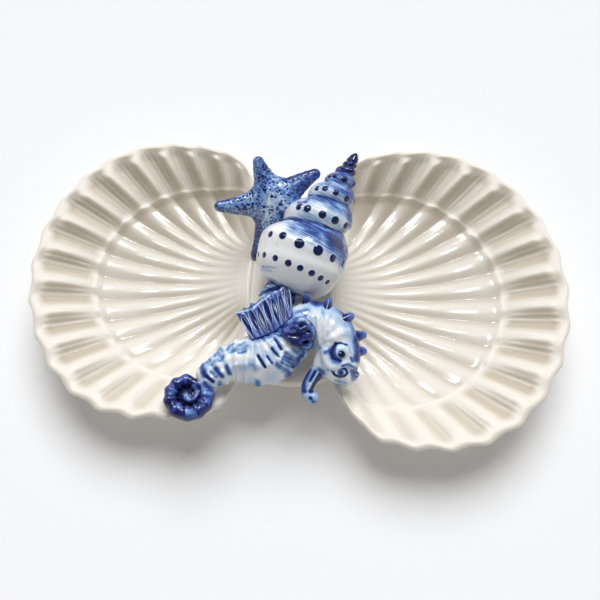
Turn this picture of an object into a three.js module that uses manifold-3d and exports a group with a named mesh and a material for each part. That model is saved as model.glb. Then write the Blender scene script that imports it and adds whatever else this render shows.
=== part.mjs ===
// Double shell dish: two fluted scallop dishes joined by a bridge that carries a whelk,
// a starfish and a seahorse. Millimetres, +Z up, standing on z = 0.
import * as THREE from "three";
import { mergeVertices } from "three/addons/utils/BufferGeometryUtils.js";
import Module from "manifold-3d";

const wasm = await Module();
wasm.setup();

// Film of slip between two luted pieces
const slipGap = 0.3;

// Plan of each dish, measured outward from the middle of the bridge
const leftReach = 169;
const leftBelly = 85;
const leftHalfWidth = 98.5;
const leftJointHalf = 66;
const leftTurn = 176.5;
const leftShift = 1;
const rightReach = 181;
const rightBelly = 91;
const rightHalfWidth = 105.5;
const rightJointHalf = 61;
const rightTurn = 0;
const rightShift = -7;

// Shared plan sizes of the dishes
const jointOut = 25;
const shoulderRun = 11;
const shoulderDrop = 10.5;
const cheekRun = 40;
const flareEnd = 40;
const flareSide = 29;
const ringSetback = 26;
const umboHalf = 32;
const ribBow = 1.25;

// Section of the dishes
const rimHeight = 38;
const ringHeight = 22;
const wellHeight = 14;
const wallThickness = 4.5;
const lipBulge = 1.5;

// Flutes of the wall and ribs of the well. The right dish has extra flutes, and flutes grow
// narrower towards the joint: the ease is how many of them it would take to shrink to nothing
const fluteCount = 20;
const rightExtraFlutes = 1;
const leftFluteEase = 30;
const rightFluteEase = 34;
const fluteRise = 2;
const lipRise = 0.75;
const ringRise = 0.7;
const ribRise = 0.8;
const fluteBulge = 1.2;
// Share of their height that the flutes lose towards the front of the piece
const frontCalm = 0.6;

// Foot rings under the wells
const footOut = 76;
const footRadius = 40;
const footWidth = 7;
const footRound = 1.5;

// Bridge between the dishes
const bridgeTop = 30;
const bridgeThickness = 10;
const bridgeBulge = 3;

// Whelk: the widest point of its axis in plan, and its axis
const whelkSpot = [9.3, 7.8];
const whelkHeading = 60.4;
const whelkLean = 17.8;
const whelkRadius = 28;
const whelkSpire = 73.5;
const whelkBase = 27;
const whelkSeat = 1.5;
const canalLength = 12;
const canalRadius = 9;
const whorlGrowth = 1.51;
const whorlFirst = 13;
const sutureDepth = 0.2;

// Starfish: centre as x, y and rise above the bridge, then each arm's direction and length
const starSpot = [-9.8, 45, 27.5];
const starLean = 45;
const starArms = [
  [34.4, 33.6],
  [111.3, 29.7],
  [185.5, 37.8],
  [251.4, 40.5],
  [322, 36],
];
const starWaist = 15;
const starTip = 3;
const starDome = 8;
const starBack = 4;

// Seahorse: each path point is x, y, rise above the bridge and radius there
const trunkPath = [
  [-49, -72, 15, 8.5],
  [-36.2, -63.9, 15.5, 11.6],
  [-26.5, -62, 15.5, 14],
  [-13.8, -61.3, 15, 16.2],
  [-2.5, -53.3, 17.5, 14.2],
  [5.4, -46, 21, 12.6],
  [12, -40.8, 23.5, 12.6],
];
const neckPath = [
  [13.4, -39.8, 23.5, 13.2],
  [24, -45.6, 23.5, 13.2],
  [28.8, -54.9, 20.5, 13],
  [29.4, -61, 18.6, 13.2],
  [30.2, -66, 16.4, 10],
];
const headStart = 2;
const snoutPath = [
  [20.5, -66.5, 17, 5],
  [15.5, -71, 15, 4.6],
  [11.6, -77, 12, 4.1],
  [11.2, -82, 10, 3.7],
  [14.6, -85, 10, 3.9],
];
const bodyFlat = 0.94;

// Tail curl, lying on the left rim: a spiral that runs clockwise seen from above
const curlSpot = [-61.6, -85.2, 14.5];
const curlOuter = 11.2;
const curlInner = 1.2;
const curlTurns = 1.45;
const curlStart = 25;
const tailRootRadius = 8;
const tailOuterRadius = 4.6;
const tailTipRadius = 2;

// Dorsal fin: root and tip of its first, middle and last ray
const dorsalRoots = [
  [-24.7, -51, 27],
  [-10, -46, 29.5],
  [2.3, -36.8, 32],
];
const dorsalTips = [
  [-33.1, -35.4, 28],
  [-14, -25.2, 32],
  [0.4, -17, 32],
];
const dorsalRays = 7;

// Pectoral fin on the side of the trunk
const pectoralRoots = [
  [-3, -48, 31],
  [-4, -51, 31],
  [-3, -54, 30.5],
];
const pectoralTips = [
  [10.5, -40, 37],
  [15.5, -50, 36],
  [5, -59, 33],
];
const pectoralRays = 5;

const rayThickness = 2.6;
const webThickness = 1.5;
const webNotch = 0.1;
const finRoot = 3;

// Crest: base and tip of each spine, from the back of the neck to the crown
const crestSpines = [
  [[10.5, -33, 28], [11, -23.4, 32]],
  [[22.5, -36, 30], [25.4, -26.4, 33]],
  [[31, -42, 28], [39.6, -37.6, 30]],
  [[36, -51, 23], [46.7, -47.6, 22]],
  [[37, -59, 20], [46.3, -57.2, 18]],
];
const spineRadius = 4;
const spineTip = 1.9;
const coronetSpot = [39.6, -71.4, 14.6];
const coronetRadius = 4;
const eyeSpots = { upper: [31, -62.2, 29.6], lower: [31, -73, 25.6] };
const eyeRadius = 4.8;

const creamGlaze = new THREE.MeshStandardMaterial({ color: 0xefe8da, roughness: 0.25, metalness: 0 });
const blueGlaze = new THREE.MeshStandardMaterial({ color: 0x3f5fa8, roughness: 0.22, metalness: 0 });
const whiteGlaze = new THREE.MeshStandardMaterial({ color: 0xe6ecf3, roughness: 0.22, metalness: 0 });
const navyGlaze = new THREE.MeshStandardMaterial({ color: 0x1c2a63, roughness: 0.2, metalness: 0 });

const { lerp, smoothstep, degToRad } = THREE.MathUtils;

// Places a point given by x, y and its rise above the bridge
function onBridge([x, y, rise]) {
  return new THREE.Vector3(x, y, bridgeTop + rise);
}

// Skins a row of closed loops, with a strip across each end, as one closed body
function loft(loops) {
  const size = loops[0].length;
  const index = [];
  for (let row = 0; row + 1 < loops.length; row += 1) {
    for (let k = 0; k < size; k += 1) {
      const next = (k + 1) % size;
      const [a, b] = [row * size + k, row * size + next];
      const [c, d] = [a + size, b + size];
      index.push(a, b, d, a, d, c);
    }
  }
  const last = (loops.length - 1) * size;
  let low = 0;
  let high = size - 1;
  while (high - low > 1) {
    const corner = (high + low) % 2 === (size - 1) % 2 ? low + 1 : high - 1;
    index.push(low, high, corner);
    index.push(last + low, last + corner, last + high);
    if (corner === low + 1) {
      low = corner;
    } else {
      high = corner;
    }
  }
  const geometry = new THREE.BufferGeometry().setFromPoints(loops.flat());
  geometry.setIndex(index);
  return signedVolume(geometry) < 0 ? turnInsideOut(geometry) : geometry;
}

function signedVolume(geometry) {
  const position = geometry.attributes.position;
  const corners = [new THREE.Vector3(), new THREE.Vector3(), new THREE.Vector3()];
  let volume = 0;
  for (let k = 0; k < geometry.index.count; k += 3) {
    corners.forEach((corner, n) => corner.fromBufferAttribute(position, geometry.index.getX(k + n)));
    volume += corners[0].dot(corners[1].cross(corners[2])) / 6;
  }
  return volume;
}

function turnInsideOut(geometry) {
  const index = Array.from(geometry.index.array);
  for (let k = 0; k < index.length; k += 3) {
    [index[k + 1], index[k + 2]] = [index[k + 2], index[k + 1]];
  }
  return geometry.setIndex(index);
}

function toSolid(geometry) {
  const bare = geometry.clone();
  bare.deleteAttribute("normal");
  bare.deleteAttribute("uv");
  const merged = mergeVertices(bare, 1e-4);
  return new wasm.Manifold(
    new wasm.Mesh({
      numProp: 3,
      vertProperties: new Float32Array(merged.attributes.position.array),
      triVerts: new Uint32Array(merged.index.array),
    }),
  );
}

// Takes the tools out of a body and gives the rest back as a geometry
function cut(geometry, ...tools) {
  const rest = tools.reduce((solid, tool) => solid.subtract(toSolid(tool)), toSolid(geometry));
  const mesh = rest.getMesh();
  const result = new THREE.BufferGeometry();
  result.setAttribute("position", new THREE.BufferAttribute(new Float32Array(mesh.vertProperties), 3));
  result.setIndex(Array.from(mesh.triVerts));
  return result;
}

// Round tube along a path of [x, y, rise, radius] points, or from one of its points to another,
// domed at its ends unless they butt
function tube(path, options = {}) {
  const { sides = 14, stepsPerSpan = 4, flat = 1, grow = 0, buttStart, buttEnd } = options;
  const { fromPoint = 0, toPoint = path.length - 1 } = options;
  const curve = new THREE.CatmullRomCurve3(path.map(onBridge), false, "centripetal");
  const spans = path.length - 1;
  const steps = spans * stepsPerSpan;
  const stations = [];
  for (let k = fromPoint * stepsPerSpan; k <= toPoint * stepsPerSpan; k += 1) {
    const span = Math.min(Math.floor(k / stepsPerSpan), spans - 1);
    const radius = lerp(path[span][3], path[span + 1][3], k / stepsPerSpan - span) + grow;
    stations.push({ centre: curve.getPoint(k / steps), along: curve.getTangent(k / steps), radius });
  }
  const first = stations[0];
  const last = stations[stations.length - 1];
  first.centre.addScaledVector(first.along, buttStart ? -grow : 0);
  last.centre.addScaledVector(last.along, buttEnd ? grow : 0);
  return loft([
    ...(buttStart ? [] : domeLoops(first, -1, sides, flat).reverse()),
    ...stations.map((station) => ringLoop(station, sides, flat)),
    ...(buttEnd ? [] : domeLoops(last, 1, sides, flat)),
  ]);
}

function domeLoops({ centre, along, radius }, direction, sides, flat) {
  return [30, 60, 84].map((angle) => {
    const turn = degToRad(angle);
    const middle = centre.clone().addScaledVector(along, direction * radius * Math.sin(turn));
    return ringLoop({ centre: middle, along, radius: radius * Math.cos(turn) }, sides, flat);
  });
}

function ringLoop({ centre, along, radius }, sides, flat) {
  const reference = Math.abs(along.z) > 0.8 ? new THREE.Vector3(1, 0, 0) : new THREE.Vector3(0, 0, 1);
  const across = along.clone().cross(reference).normalize();
  const upward = across.clone().cross(along);
  return Array.from({ length: sides }, (_, k) => {
    const turn = ((k + 0.5) / sides) * 2 * Math.PI;
    return centre
      .clone()
      .addScaledVector(across, radius * Math.cos(turn))
      .addScaledVector(upward, radius * flat * Math.sin(turn));
  });
}

const leftPlan = {
  reach: leftReach,
  belly: leftBelly,
  half: leftHalfWidth,
  jointHalf: leftJointHalf,
  turn: degToRad(leftTurn),
  shift: leftShift,
  flutes: fluteCount,
  ease: leftFluteEase,
  frontSide: 1,
};
const rightPlan = {
  reach: rightReach,
  belly: rightBelly,
  half: rightHalfWidth,
  jointHalf: rightJointHalf,
  turn: degToRad(rightTurn),
  shift: rightShift,
  flutes: fluteCount + rightExtraFlutes,
  ease: rightFluteEase,
  frontSide: -1,
};

function dishMatrix(plan) {
  return new THREE.Matrix4().makeRotationZ(plan.turn).setPosition(0, plan.shift, 0);
}

// Fan outline from the front end of the joint round the far end to its back end
function fanPath(inner, jointHalf, shoulder, cheek, belly, half, reach) {
  const path = new THREE.Path();
  path.moveTo(inner, -jointHalf);
  path.bezierCurveTo(shoulder[0], -shoulder[1], cheek, -half, belly, -half);
  path.absellipse(belly, 0, reach - belly, half, -Math.PI / 2, Math.PI / 2);
  path.bezierCurveTo(cheek, half, shoulder[0], shoulder[1], inner, jointHalf);
  return path;
}

const columnsPerFlute = 5;
const jointTrim = 2;
const wellStops = [0, 0.15, 0.3, 0.45, 0.6, 0.8, 1];
const wallStops = [1.2, 1.5, 1.82, 2];
const underStops = [2, 1.6, 1.2, 1, 0.6, 0.3, 0];
const wellLow = 0.55;

// Height of the dish's upper face with no flutes, at stop 0 (umbo), 1 (ring) to 2 (rim)
function dishLevel(stop, side) {
  const edge = Math.abs(side);
  const hollow = 1 - smoothstep(edge, 0.72, 1);
  const rim = lerp(rimHeight, bridgeTop + 1, smoothstep(edge, 0.86, 1));
  const level = lerp(bridgeTop, rim, stop / 2);
  const fall = Math.max(0, (wellLow - stop) / wellLow);
  const climb = Math.max(0, (Math.min(stop, 1) - wellLow) / (1 - wellLow));
  const bowl = wellHeight + (bridgeTop - wellHeight) * fall ** 2 + (ringHeight - wellHeight) * climb ** 2;
  const run = Math.max(0, stop - 1);
  const wall = (rim - ringHeight) * (1.25 * run - 0.25 * run ** 2);
  return lerp(level, bowl + wall, hollow);
}

// Rise or fall of the flutes there; rib is 0 down the middle of a channel and 1 on a rib
function fluteHeight(stop, rib) {
  const up = Math.max(0, stop - 1);
  const rise = lerp(lerp(ringRise, fluteRise, smoothstep(up, 0, 0.6)), lipRise, smoothstep(up, 0.8, 0.99));
  const inWell = 2 * ribRise * (rib ** 0.6 - 0.75) * smoothstep(stop, 0.02, 0.7);
  const onWall = 2 * rise * (rib ** 1.25 - 0.45);
  return lerp(inWell, onWall, smoothstep(stop, 0.96, 1.04));
}

// How many flutes lie between the fan's axis and each column, by its place from -1 to 1
function flutesFromAxis(plan, side) {
  const shrink = 1 - Math.exp(-plan.flutes / 2 / plan.ease);
  return -Math.sign(side) * plan.ease * Math.log(1 - Math.abs(side) * shrink);
}

// Shell of one dish in its own frame, outward along +X; lift and drop move its two faces apart
function dishShell(plan, lift = 0, drop = 0) {
  const inner = jointOut - jointTrim;
  const ringHalf = plan.half - flareSide;
  const ringBelly = plan.belly - ringSetback;
  const rimShoulder = [jointOut + shoulderRun, plan.half - shoulderDrop];
  const ringShoulder = [jointOut + shoulderRun / 2, ringHalf - shoulderDrop / 2];
  const columns = plan.flutes * columnsPerFlute;
  const rim = fanPath(
    inner, plan.jointHalf, rimShoulder, plan.belly - cheekRun, plan.belly, plan.half, plan.reach,
  ).getSpacedPoints(columns);
  const ring = fanPath(
    inner, plan.jointHalf - shoulderRun, ringShoulder, ringBelly - shoulderRun * 1.7,
    ringBelly, ringHalf, plan.reach - flareEnd,
  ).getSpacedPoints(columns);
  const loops = [];
  for (let column = 0; column <= columns; column += 1) {
    const side = (2 * column) / columns - 1;
    const fade = 1 - smoothstep(Math.abs(side), 0.8, 0.97);
    const calm = 1 - frontCalm * smoothstep(side * plan.frontSide, 0.3, 0.8);
    const rib = (1 - Math.cos(2 * Math.PI * flutesFromAxis(plan, side))) / 2;
    const outward = rim[column].clone().sub(ring[column]).normalize();
    const edge = rim[column].clone().addScaledVector(outward, fluteBulge * (1 - 2 * rib ** 0.8) * fade);
    const planAt = (stop) =>
      stop < 1
        ? new THREE.Vector2(
            lerp(inner, ring[column].x, stop), lerp(umboHalf * side, ring[column].y, stop ** ribBow),
          )
        : ring[column].clone().lerp(edge, stop - 1);
    const spotAt = (stop, offset) => {
      const spot = planAt(stop);
      const height = dishLevel(stop, side) + fluteHeight(stop, rib) * fade * calm;
      return new THREE.Vector3(spot.x, spot.y, height + offset);
    };
    const face = [...wellStops, ...wallStops].map((stop) => spotAt(stop, lift));
    const lip = spotAt(2, (lift - drop - wallThickness) / 2);
    lip.x += outward.x * (lipBulge + drop);
    lip.y += outward.y * (lipBulge + drop);
    const under = underStops.map((stop) => spotAt(stop, -wallThickness - drop));
    loops.push([...face, lip, ...under]);
  }
  return loft(loops);
}

// Everything nearer to the bridge than the joint face, in a dish's own frame
const wide = 4 * (leftReach + rightReach);
function behindJoint(setback) {
  return new THREE.BoxGeometry(wide, wide, wide).translate(jointOut - setback - wide / 2, 0, 0);
}

function dish(plan) {
  return cut(dishShell(plan), behindJoint(0));
}

// The dish with a film of slip round it, in the part's frame
function dishWithSlip(plan) {
  return cut(dishShell(plan, slipGap, slipGap), behindJoint(slipGap)).applyMatrix4(dishMatrix(plan));
}

// Foot ring in its dish's frame, its top following the underside of the well
function footRing(plan) {
  const [inside, outside] = [footRadius - footWidth / 2, footRadius + footWidth / 2];
  const profile = [
    new THREE.Vector2(inside, footRound),
    new THREE.Vector2(inside + footRound, 0),
    new THREE.Vector2(outside - footRound, 0),
    new THREE.Vector2(outside, footRound),
    new THREE.Vector2(outside, bridgeTop),
    new THREE.Vector2(inside, bridgeTop),
    new THREE.Vector2(inside, footRound),
  ];
  const ring = new THREE.LatheGeometry(profile, 28).rotateX(Math.PI / 2).translate(footOut, 0, 0);
  return cut(ring, dishShell(plan, wide / 4, slipGap));
}

function bridge() {
  const [leftFront, leftBack] = jointEnds(leftPlan).reverse();
  const [rightFront, rightBack] = jointEnds(rightPlan);
  const front = leftFront.clone().lerp(rightFront, 0.5);
  const back = leftBack.clone().lerp(rightBack, 0.5);
  const outline = new THREE.Shape();
  outline.moveTo(leftFront.x, leftFront.y);
  outline.quadraticCurveTo(front.x, front.y - bridgeBulge, rightFront.x, rightFront.y);
  outline.lineTo(rightBack.x, rightBack.y);
  outline.quadraticCurveTo(back.x, back.y + bridgeBulge, leftBack.x, leftBack.y);
  outline.closePath();
  const slab = new THREE.ExtrudeGeometry(outline, { depth: bridgeThickness, bevelEnabled: false });
  slab.translate(0, 0, bridgeTop - bridgeThickness);
  return cut(slab, beyondJoint(leftPlan), beyondJoint(rightPlan));
}

// Ends of a dish's joint with the bridge, at -v and +v, a little past the joint face
function jointEnds(plan) {
  const matrix = dishMatrix(plan);
  return [-plan.jointHalf, plan.jointHalf].map((v) =>
    new THREE.Vector3(jointOut + jointTrim, v, 0).applyMatrix4(matrix),
  );
}

function beyondJoint(plan) {
  const block = new THREE.BoxGeometry(wide, wide, wide);
  return block.translate(jointOut - slipGap + wide / 2, 0, 0).applyMatrix4(dishMatrix(plan));
}

// Everything lower than the slip on top of the bridge
function belowSeat() {
  return new THREE.BoxGeometry(wide, wide, wide).translate(0, 0, bridgeTop + slipGap - wide / 2);
}

// Radius of the whelk's outline, measured from the apex along its axis
function whelkOutline(depth) {
  if (depth < whelkSpire) {
    return whelkRadius * (1 - (1 - depth / whelkSpire) ** 1.4);
  }
  const past = Math.min(1, (depth - whelkSpire) / whelkBase);
  return canalRadius + (whelkRadius - canalRadius) * Math.sqrt(Math.max(0, 1 - past ** 2));
}

function whelk(grow = 0) {
  const [heading, lean] = [degToRad(whelkHeading), degToRad(whelkLean)];
  const axis = new THREE.Vector3(
    Math.cos(lean) * Math.cos(heading), Math.cos(lean) * Math.sin(heading), Math.sin(lean),
  );
  const front = new THREE.Vector3(0, 0, 1).projectOnPlane(axis).normalize();
  const right = axis.clone().cross(front);
  const middle = onBridge([...whelkSpot, whelkRadius - whelkSeat]);
  const length = whelkSpire + whelkBase + canalLength;
  const [rows, sides] = [42, 20];
  const loops = [];
  for (let row = 0; row <= rows; row += 1) {
    const depth = 1 + (length - 1) * (row / rows) ** 1.15;
    const centre = middle.clone().addScaledVector(axis, whelkSpire - depth);
    loops.push(
      Array.from({ length: sides }, (_, k) => {
        const turn = (k / sides) * 2 * Math.PI - Math.PI;
        const whorl = Math.log(depth / whorlFirst) / Math.log(whorlGrowth) + turn / (2 * Math.PI);
        const fade = 1 - smoothstep(whorl, 4, 4.4);
        const bulge = 1 - sutureDepth * fade * (1 - Math.abs(Math.cos(Math.PI * whorl)));
        const radius = whelkOutline(depth) * bulge + grow;
        return centre
          .clone()
          .addScaledVector(front, radius * Math.cos(turn))
          .addScaledVector(right, radius * Math.sin(turn));
      }),
    );
  }
  return loft(loops);
}

// Distance from the starfish's centre to the side of an arm, which runs straight from the
// blunt tip to the valley between two arms
function armEdge(reach, halfGap, offset) {
  const tip = new THREE.Vector2(reach, starTip);
  const valley = new THREE.Vector2(starWaist, 0).rotateAround(new THREE.Vector2(), halfGap);
  const side = valley.sub(tip);
  const ray = new THREE.Vector2(1, 0).rotateAround(new THREE.Vector2(), offset);
  return tip.cross(side) / ray.cross(side);
}

// Starfish: loops from the crown of its dome to the arms' edge and under to the back
function starfish() {
  const lean = degToRad(starLean);
  const across = new THREE.Vector3(1, 0, 0);
  const upward = new THREE.Vector3(0, Math.cos(lean), Math.sin(lean));
  const facing = across.clone().cross(upward);
  const centre = onBridge(starSpot);
  const outline = starArms.flatMap(([direction, length], arm) => {
    const [next, nextLength] = starArms[(arm + 1) % starArms.length];
    const gap = (next - direction + 360) % 360;
    return [0, 0.07, 0.16, 0.3, 0.5, 0.7, 0.84, 0.93].map((share) => {
      const reach = share < 0.5 ? length : nextLength;
      const offset = degToRad(gap * Math.min(share, 1 - share));
      const radius = share === 0 ? length + starTip / 2 : armEdge(reach, degToRad(gap / 2), offset);
      const ridge = 1 - 0.55 * smoothstep(offset, 0, 0.4);
      return { turn: degToRad(direction + share * gap), radius, ridge };
    });
  });
  const shells = [
    [0.04, starDome, 0],
    [0.3, starDome * 0.95, 1],
    [0.6, starDome * 0.78, 1],
    [0.86, starDome * 0.52, 1],
    [1, 0, 0],
    [0.8, -starBack, 0],
    [0.04, -starBack, 0],
  ];
  const loops = shells.map(([share, rise, ridged]) =>
    outline.map(({ turn, radius, ridge }) =>
      centre
        .clone()
        .addScaledVector(across, radius * share * Math.cos(turn))
        .addScaledVector(upward, radius * share * Math.sin(turn))
        .addScaledVector(facing, rise * lerp(1, ridge, ridged)),
    ),
  );
  return loft(loops);
}

// Tail: runs off the trunk into a flat spiral
function tailPath() {
  const path = [[trunkPath[0][0], trunkPath[0][1], trunkPath[0][2], tailRootRadius]];
  const steps = 26;
  for (let k = 0; k <= steps; k += 1) {
    const share = k / steps;
    const turn = degToRad(curlStart - share * curlTurns * 360);
    const radius = lerp(curlOuter, curlInner, share ** 0.8);
    path.push([
      curlSpot[0] + radius * Math.cos(turn),
      curlSpot[1] + radius * Math.sin(turn),
      curlSpot[2],
      lerp(tailOuterRadius, tailTipRadius, share),
    ]);
  }
  return path;
}

// Ribbed fan: thick rays with thinner webs between, from its roots to its tips
function fin(roots, tips, rays) {
  const rootCurve = new THREE.CatmullRomCurve3(roots.map(onBridge));
  const tipCurve = new THREE.CatmullRomCurve3(tips.map(onBridge));
  const strips = 2 * (rays - 1);
  const loops = [];
  for (let k = 0; k <= strips; k += 1) {
    const onRay = k % 2 === 0;
    const root = rootCurve.getPoint(k / strips);
    const tip = tipCurve.getPoint(k / strips);
    const along = rootCurve.getTangent(k / strips);
    const outward = tip.clone().sub(root);
    const normal = along.cross(outward).normalize();
    const half = (onRay ? rayThickness : webThickness) / 2;
    const stops = [-finRoot / outward.length(), 0.5, onRay ? 1 : 1 - webNotch];
    const shape = stops.map((stop, n) => ({ stop, thick: n === 2 ? half * 0.7 : half }));
    const face = shape.map(({ stop, thick }) =>
      root.clone().addScaledVector(outward, stop).addScaledVector(normal, thick),
    );
    const back = shape.map(({ stop, thick }) =>
      root.clone().addScaledVector(outward, stop).addScaledVector(normal, -thick),
    );
    loops.push([...face, ...back.reverse()]);
  }
  return loft(loops);
}

function spine([base, tip]) {
  const middle = base.map((value, n) => (value + tip[n]) / 2);
  const path = [[...base, spineRadius], [...middle, spineRadius * 0.75], [...tip, spineTip]];
  return tube(path, { sides: 8, stepsPerSpan: 2 });
}

function ball(spot, radius) {
  const centre = onBridge(spot);
  return new THREE.SphereGeometry(radius, 14, 10).translate(centre.x, centre.y, centre.z);
}

const figures = new THREE.Group();
const parts = new THREE.Group();

function addPiece(group, name, geometry, material) {
  const mesh = new THREE.Mesh(geometry, material);
  mesh.name = name;
  group.add(mesh);
}

for (const [side, plan] of [["left", leftPlan], ["right", rightPlan]]) {
  const shell = new THREE.Group();
  shell.rotation.z = plan.turn;
  shell.position.y = plan.shift;
  addPiece(shell, `${side}_dish`, dish(plan), creamGlaze);
  addPiece(shell, `${side}_foot_ring`, footRing(plan), creamGlaze);
  parts.add(shell);
}
addPiece(parts, "centre_bridge", bridge(), creamGlaze);

const body = { flat: bodyFlat };
const bodyWithSlip = { flat: bodyFlat, grow: slipGap };
const trunkSlip = tube(trunkPath, bodyWithSlip);
const neckSpan = { toPoint: headStart, buttStart: true, buttEnd: true };
const headSpan = { fromPoint: headStart, buttStart: true };
const neckSlip = tube(neckPath, { ...bodyWithSlip, ...neckSpan });
const headSlip = tube(neckPath, { ...bodyWithSlip, ...headSpan });
const whelkSlip = whelk(slipGap);
const leftSlip = dishWithSlip(leftPlan);
const rightSlip = dishWithSlip(rightPlan);
const seat = belowSeat();

addPiece(figures, "whelk_shell", cut(whelk(), seat), whiteGlaze);
addPiece(figures, "starfish", cut(starfish(), seat, whelkSlip, leftSlip), blueGlaze);
addPiece(figures, "seahorse_trunk", cut(tube(trunkPath, body), seat, whelkSlip, leftSlip), whiteGlaze);
const neck = tube(neckPath, { ...body, ...neckSpan });
addPiece(figures, "seahorse_neck", cut(neck, seat, trunkSlip, whelkSlip), whiteGlaze);
const head = tube(neckPath, { ...body, ...headSpan });
addPiece(figures, "seahorse_head", cut(head, seat, trunkSlip, neckSlip, rightSlip), whiteGlaze);
const tail = tube(tailPath(), { sides: 10, stepsPerSpan: 1 });
addPiece(figures, "seahorse_tail", cut(tail, trunkSlip, leftSlip), navyGlaze);
addPiece(
  figures, "seahorse_snout", cut(tube(snoutPath, { sides: 10 }), headSlip, rightSlip), navyGlaze,
);
const dorsal = fin(dorsalRoots, dorsalTips, dorsalRays);
addPiece(figures, "seahorse_dorsal_fin", cut(dorsal, trunkSlip, neckSlip, whelkSlip), blueGlaze);
const pectoral = fin(pectoralRoots, pectoralTips, pectoralRays);
addPiece(figures, "seahorse_pectoral_fin", cut(pectoral, trunkSlip, neckSlip), navyGlaze);
crestSpines.forEach((ends, n) => {
  const piece = cut(spine(ends), trunkSlip, neckSlip, headSlip, whelkSlip);
  addPiece(figures, `seahorse_crest_spine_${n + 1}`, piece, blueGlaze);
});
addPiece(figures, "seahorse_coronet", cut(ball(coronetSpot, coronetRadius), headSlip, rightSlip), blueGlaze);
for (const [place, spot] of Object.entries(eyeSpots)) {
  addPiece(figures, `seahorse_eye_${place}`, cut(ball(spot, eyeRadius), neckSlip, headSlip), whiteGlaze);
}
parts.add(figures);

// Stands the finished dish over the middle of its footprint
parts.updateMatrixWorld(true);
const footprint = new THREE.Box3().setFromObject(parts, true);
const middle = footprint.getCenter(new THREE.Vector3());
parts.position.set(-middle.x, -middle.y, -footprint.min.z);

export default parts;
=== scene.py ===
import math

import bpy
import numpy as np
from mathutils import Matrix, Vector


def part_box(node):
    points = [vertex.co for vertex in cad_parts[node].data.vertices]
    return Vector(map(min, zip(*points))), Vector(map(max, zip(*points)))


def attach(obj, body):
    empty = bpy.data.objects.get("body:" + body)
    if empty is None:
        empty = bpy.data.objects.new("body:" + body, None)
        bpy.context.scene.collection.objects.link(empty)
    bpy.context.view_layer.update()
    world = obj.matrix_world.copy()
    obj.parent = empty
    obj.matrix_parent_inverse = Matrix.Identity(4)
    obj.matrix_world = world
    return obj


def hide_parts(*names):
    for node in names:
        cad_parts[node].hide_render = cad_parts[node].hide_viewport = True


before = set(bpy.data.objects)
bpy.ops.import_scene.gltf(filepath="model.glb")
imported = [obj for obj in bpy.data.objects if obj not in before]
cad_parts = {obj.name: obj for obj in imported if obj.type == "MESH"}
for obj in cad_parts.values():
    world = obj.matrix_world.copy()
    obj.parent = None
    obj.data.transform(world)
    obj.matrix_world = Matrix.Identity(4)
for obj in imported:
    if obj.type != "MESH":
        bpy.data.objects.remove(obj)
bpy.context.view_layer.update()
print("frame loaded:", len(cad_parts), "nodes")

# Lengths here are millimetres from the middle of the bridge, with z = 0 on the table.
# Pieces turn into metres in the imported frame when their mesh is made.

perMetre = 1000
leftFan = {
    "name": "left", "reach": 169, "belly": 85, "half": 98.5, "jointHalf": 66,
    "turn": 176.5, "shift": 1, "flutes": 20, "ease": 30, "frontSide": 1, "corner": 5.5,
}
rightFan = {
    "name": "right", "reach": 181, "belly": 91, "half": 105.5, "jointHalf": 61,
    "turn": 0, "shift": -7, "flutes": 21, "ease": 34, "frontSide": -1, "corner": -3.5,
}
footRings = {"out": 76, "radius": 40, "width": 7, "round": 1.8, "segments": 160, "sunk": 1, "bareBelow": -0.6}
bridgeSlab = {
    "top": 30, "thickness": 10, "endThickness": 5, "bulge": 3, "edgeRound": 3.5, "endRound": 0.5,
    "backDrop": 3, "dropFrom": 0.84, "crownHalf": 65, "crownFlat": 10, "crownRun": 45, "crownRise": 0.5,
    # the bridge's glaze is a little darker all over: painted shade
    "points": 90, "stations": 44, "edgeRows": 11, "paint": {"crease": 0.12, "thin": 0.5, "matt": 1},
}


def smooth(low, high, x):
    t = np.clip((np.asarray(x, float) - low) / (high - low), 0, 1)
    return t * t * (3 - 2 * t)


def mix(a, b, t):
    return a + (b - a) * t


# 1 from b to c, falling to 0 at a and d
def between(x, a, b, c, d):
    return smooth(a, b, x) * (1 - smooth(c, d, x))


def hump(x, middle, width):
    return np.exp(-((x - middle) / width) ** 2)


def unit(v):
    v = np.asarray(v, float)
    return v / np.linalg.norm(v, axis=-1, keepdims=True)


# Angles all the way round, in equal steps
def fullTurn(count):
    return np.linspace(0, 2 * math.pi, count, endpoint=False)


# Turns points of a dish's own frame into the part's frame
def placeDish(fan, points):
    turn = math.radians(fan["turn"])
    x, y = points[..., 0], points[..., 1]
    placed = np.array(points, float)
    placed[..., 0] = x * math.cos(turn) - y * math.sin(turn)
    placed[..., 1] = x * math.sin(turn) + y * math.cos(turn) + fan["shift"]
    return placed


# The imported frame's origin, found from the left foot ring
footLow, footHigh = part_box("left_foot_ring")
footMiddle = (footLow + footHigh) / 2
leftFootSpot = placeDish(leftFan, np.array([footRings["out"], 0, 0]))
frameOrigin = np.array([footMiddle.x, footMiddle.y, 0]) * perMetre - leftFootSpot


def toFrame(points):
    return (np.asarray(points, float) + frameOrigin) / perMetre


# Mesh helpers

def gridFaces(rows, columns, closeColumns=False, closeRows=False):
    r = np.arange(rows if closeRows else rows - 1)
    c = np.arange(columns if closeColumns else columns - 1)
    rr, cc = np.meshgrid(r, c, indexing="ij")
    nextRow, nextColumn = (rr + 1) % rows, (cc + 1) % columns
    corners = [(rr, cc), (rr, nextColumn), (nextRow, nextColumn), (nextRow, cc)]
    return np.stack([row * columns + column for row, column in corners], -1).reshape(-1, 4).tolist()


def flipped(faces):
    return [face[::-1] for face in faces]


# Faces of closed rings one after another, with both ends capped
def tubeFaces(rows, sides):
    faces = flipped(gridFaces(rows, sides, closeColumns=True))
    return faces + [list(range(sides)), [rows * sides - 1 - k for k in range(sides)]]


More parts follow.
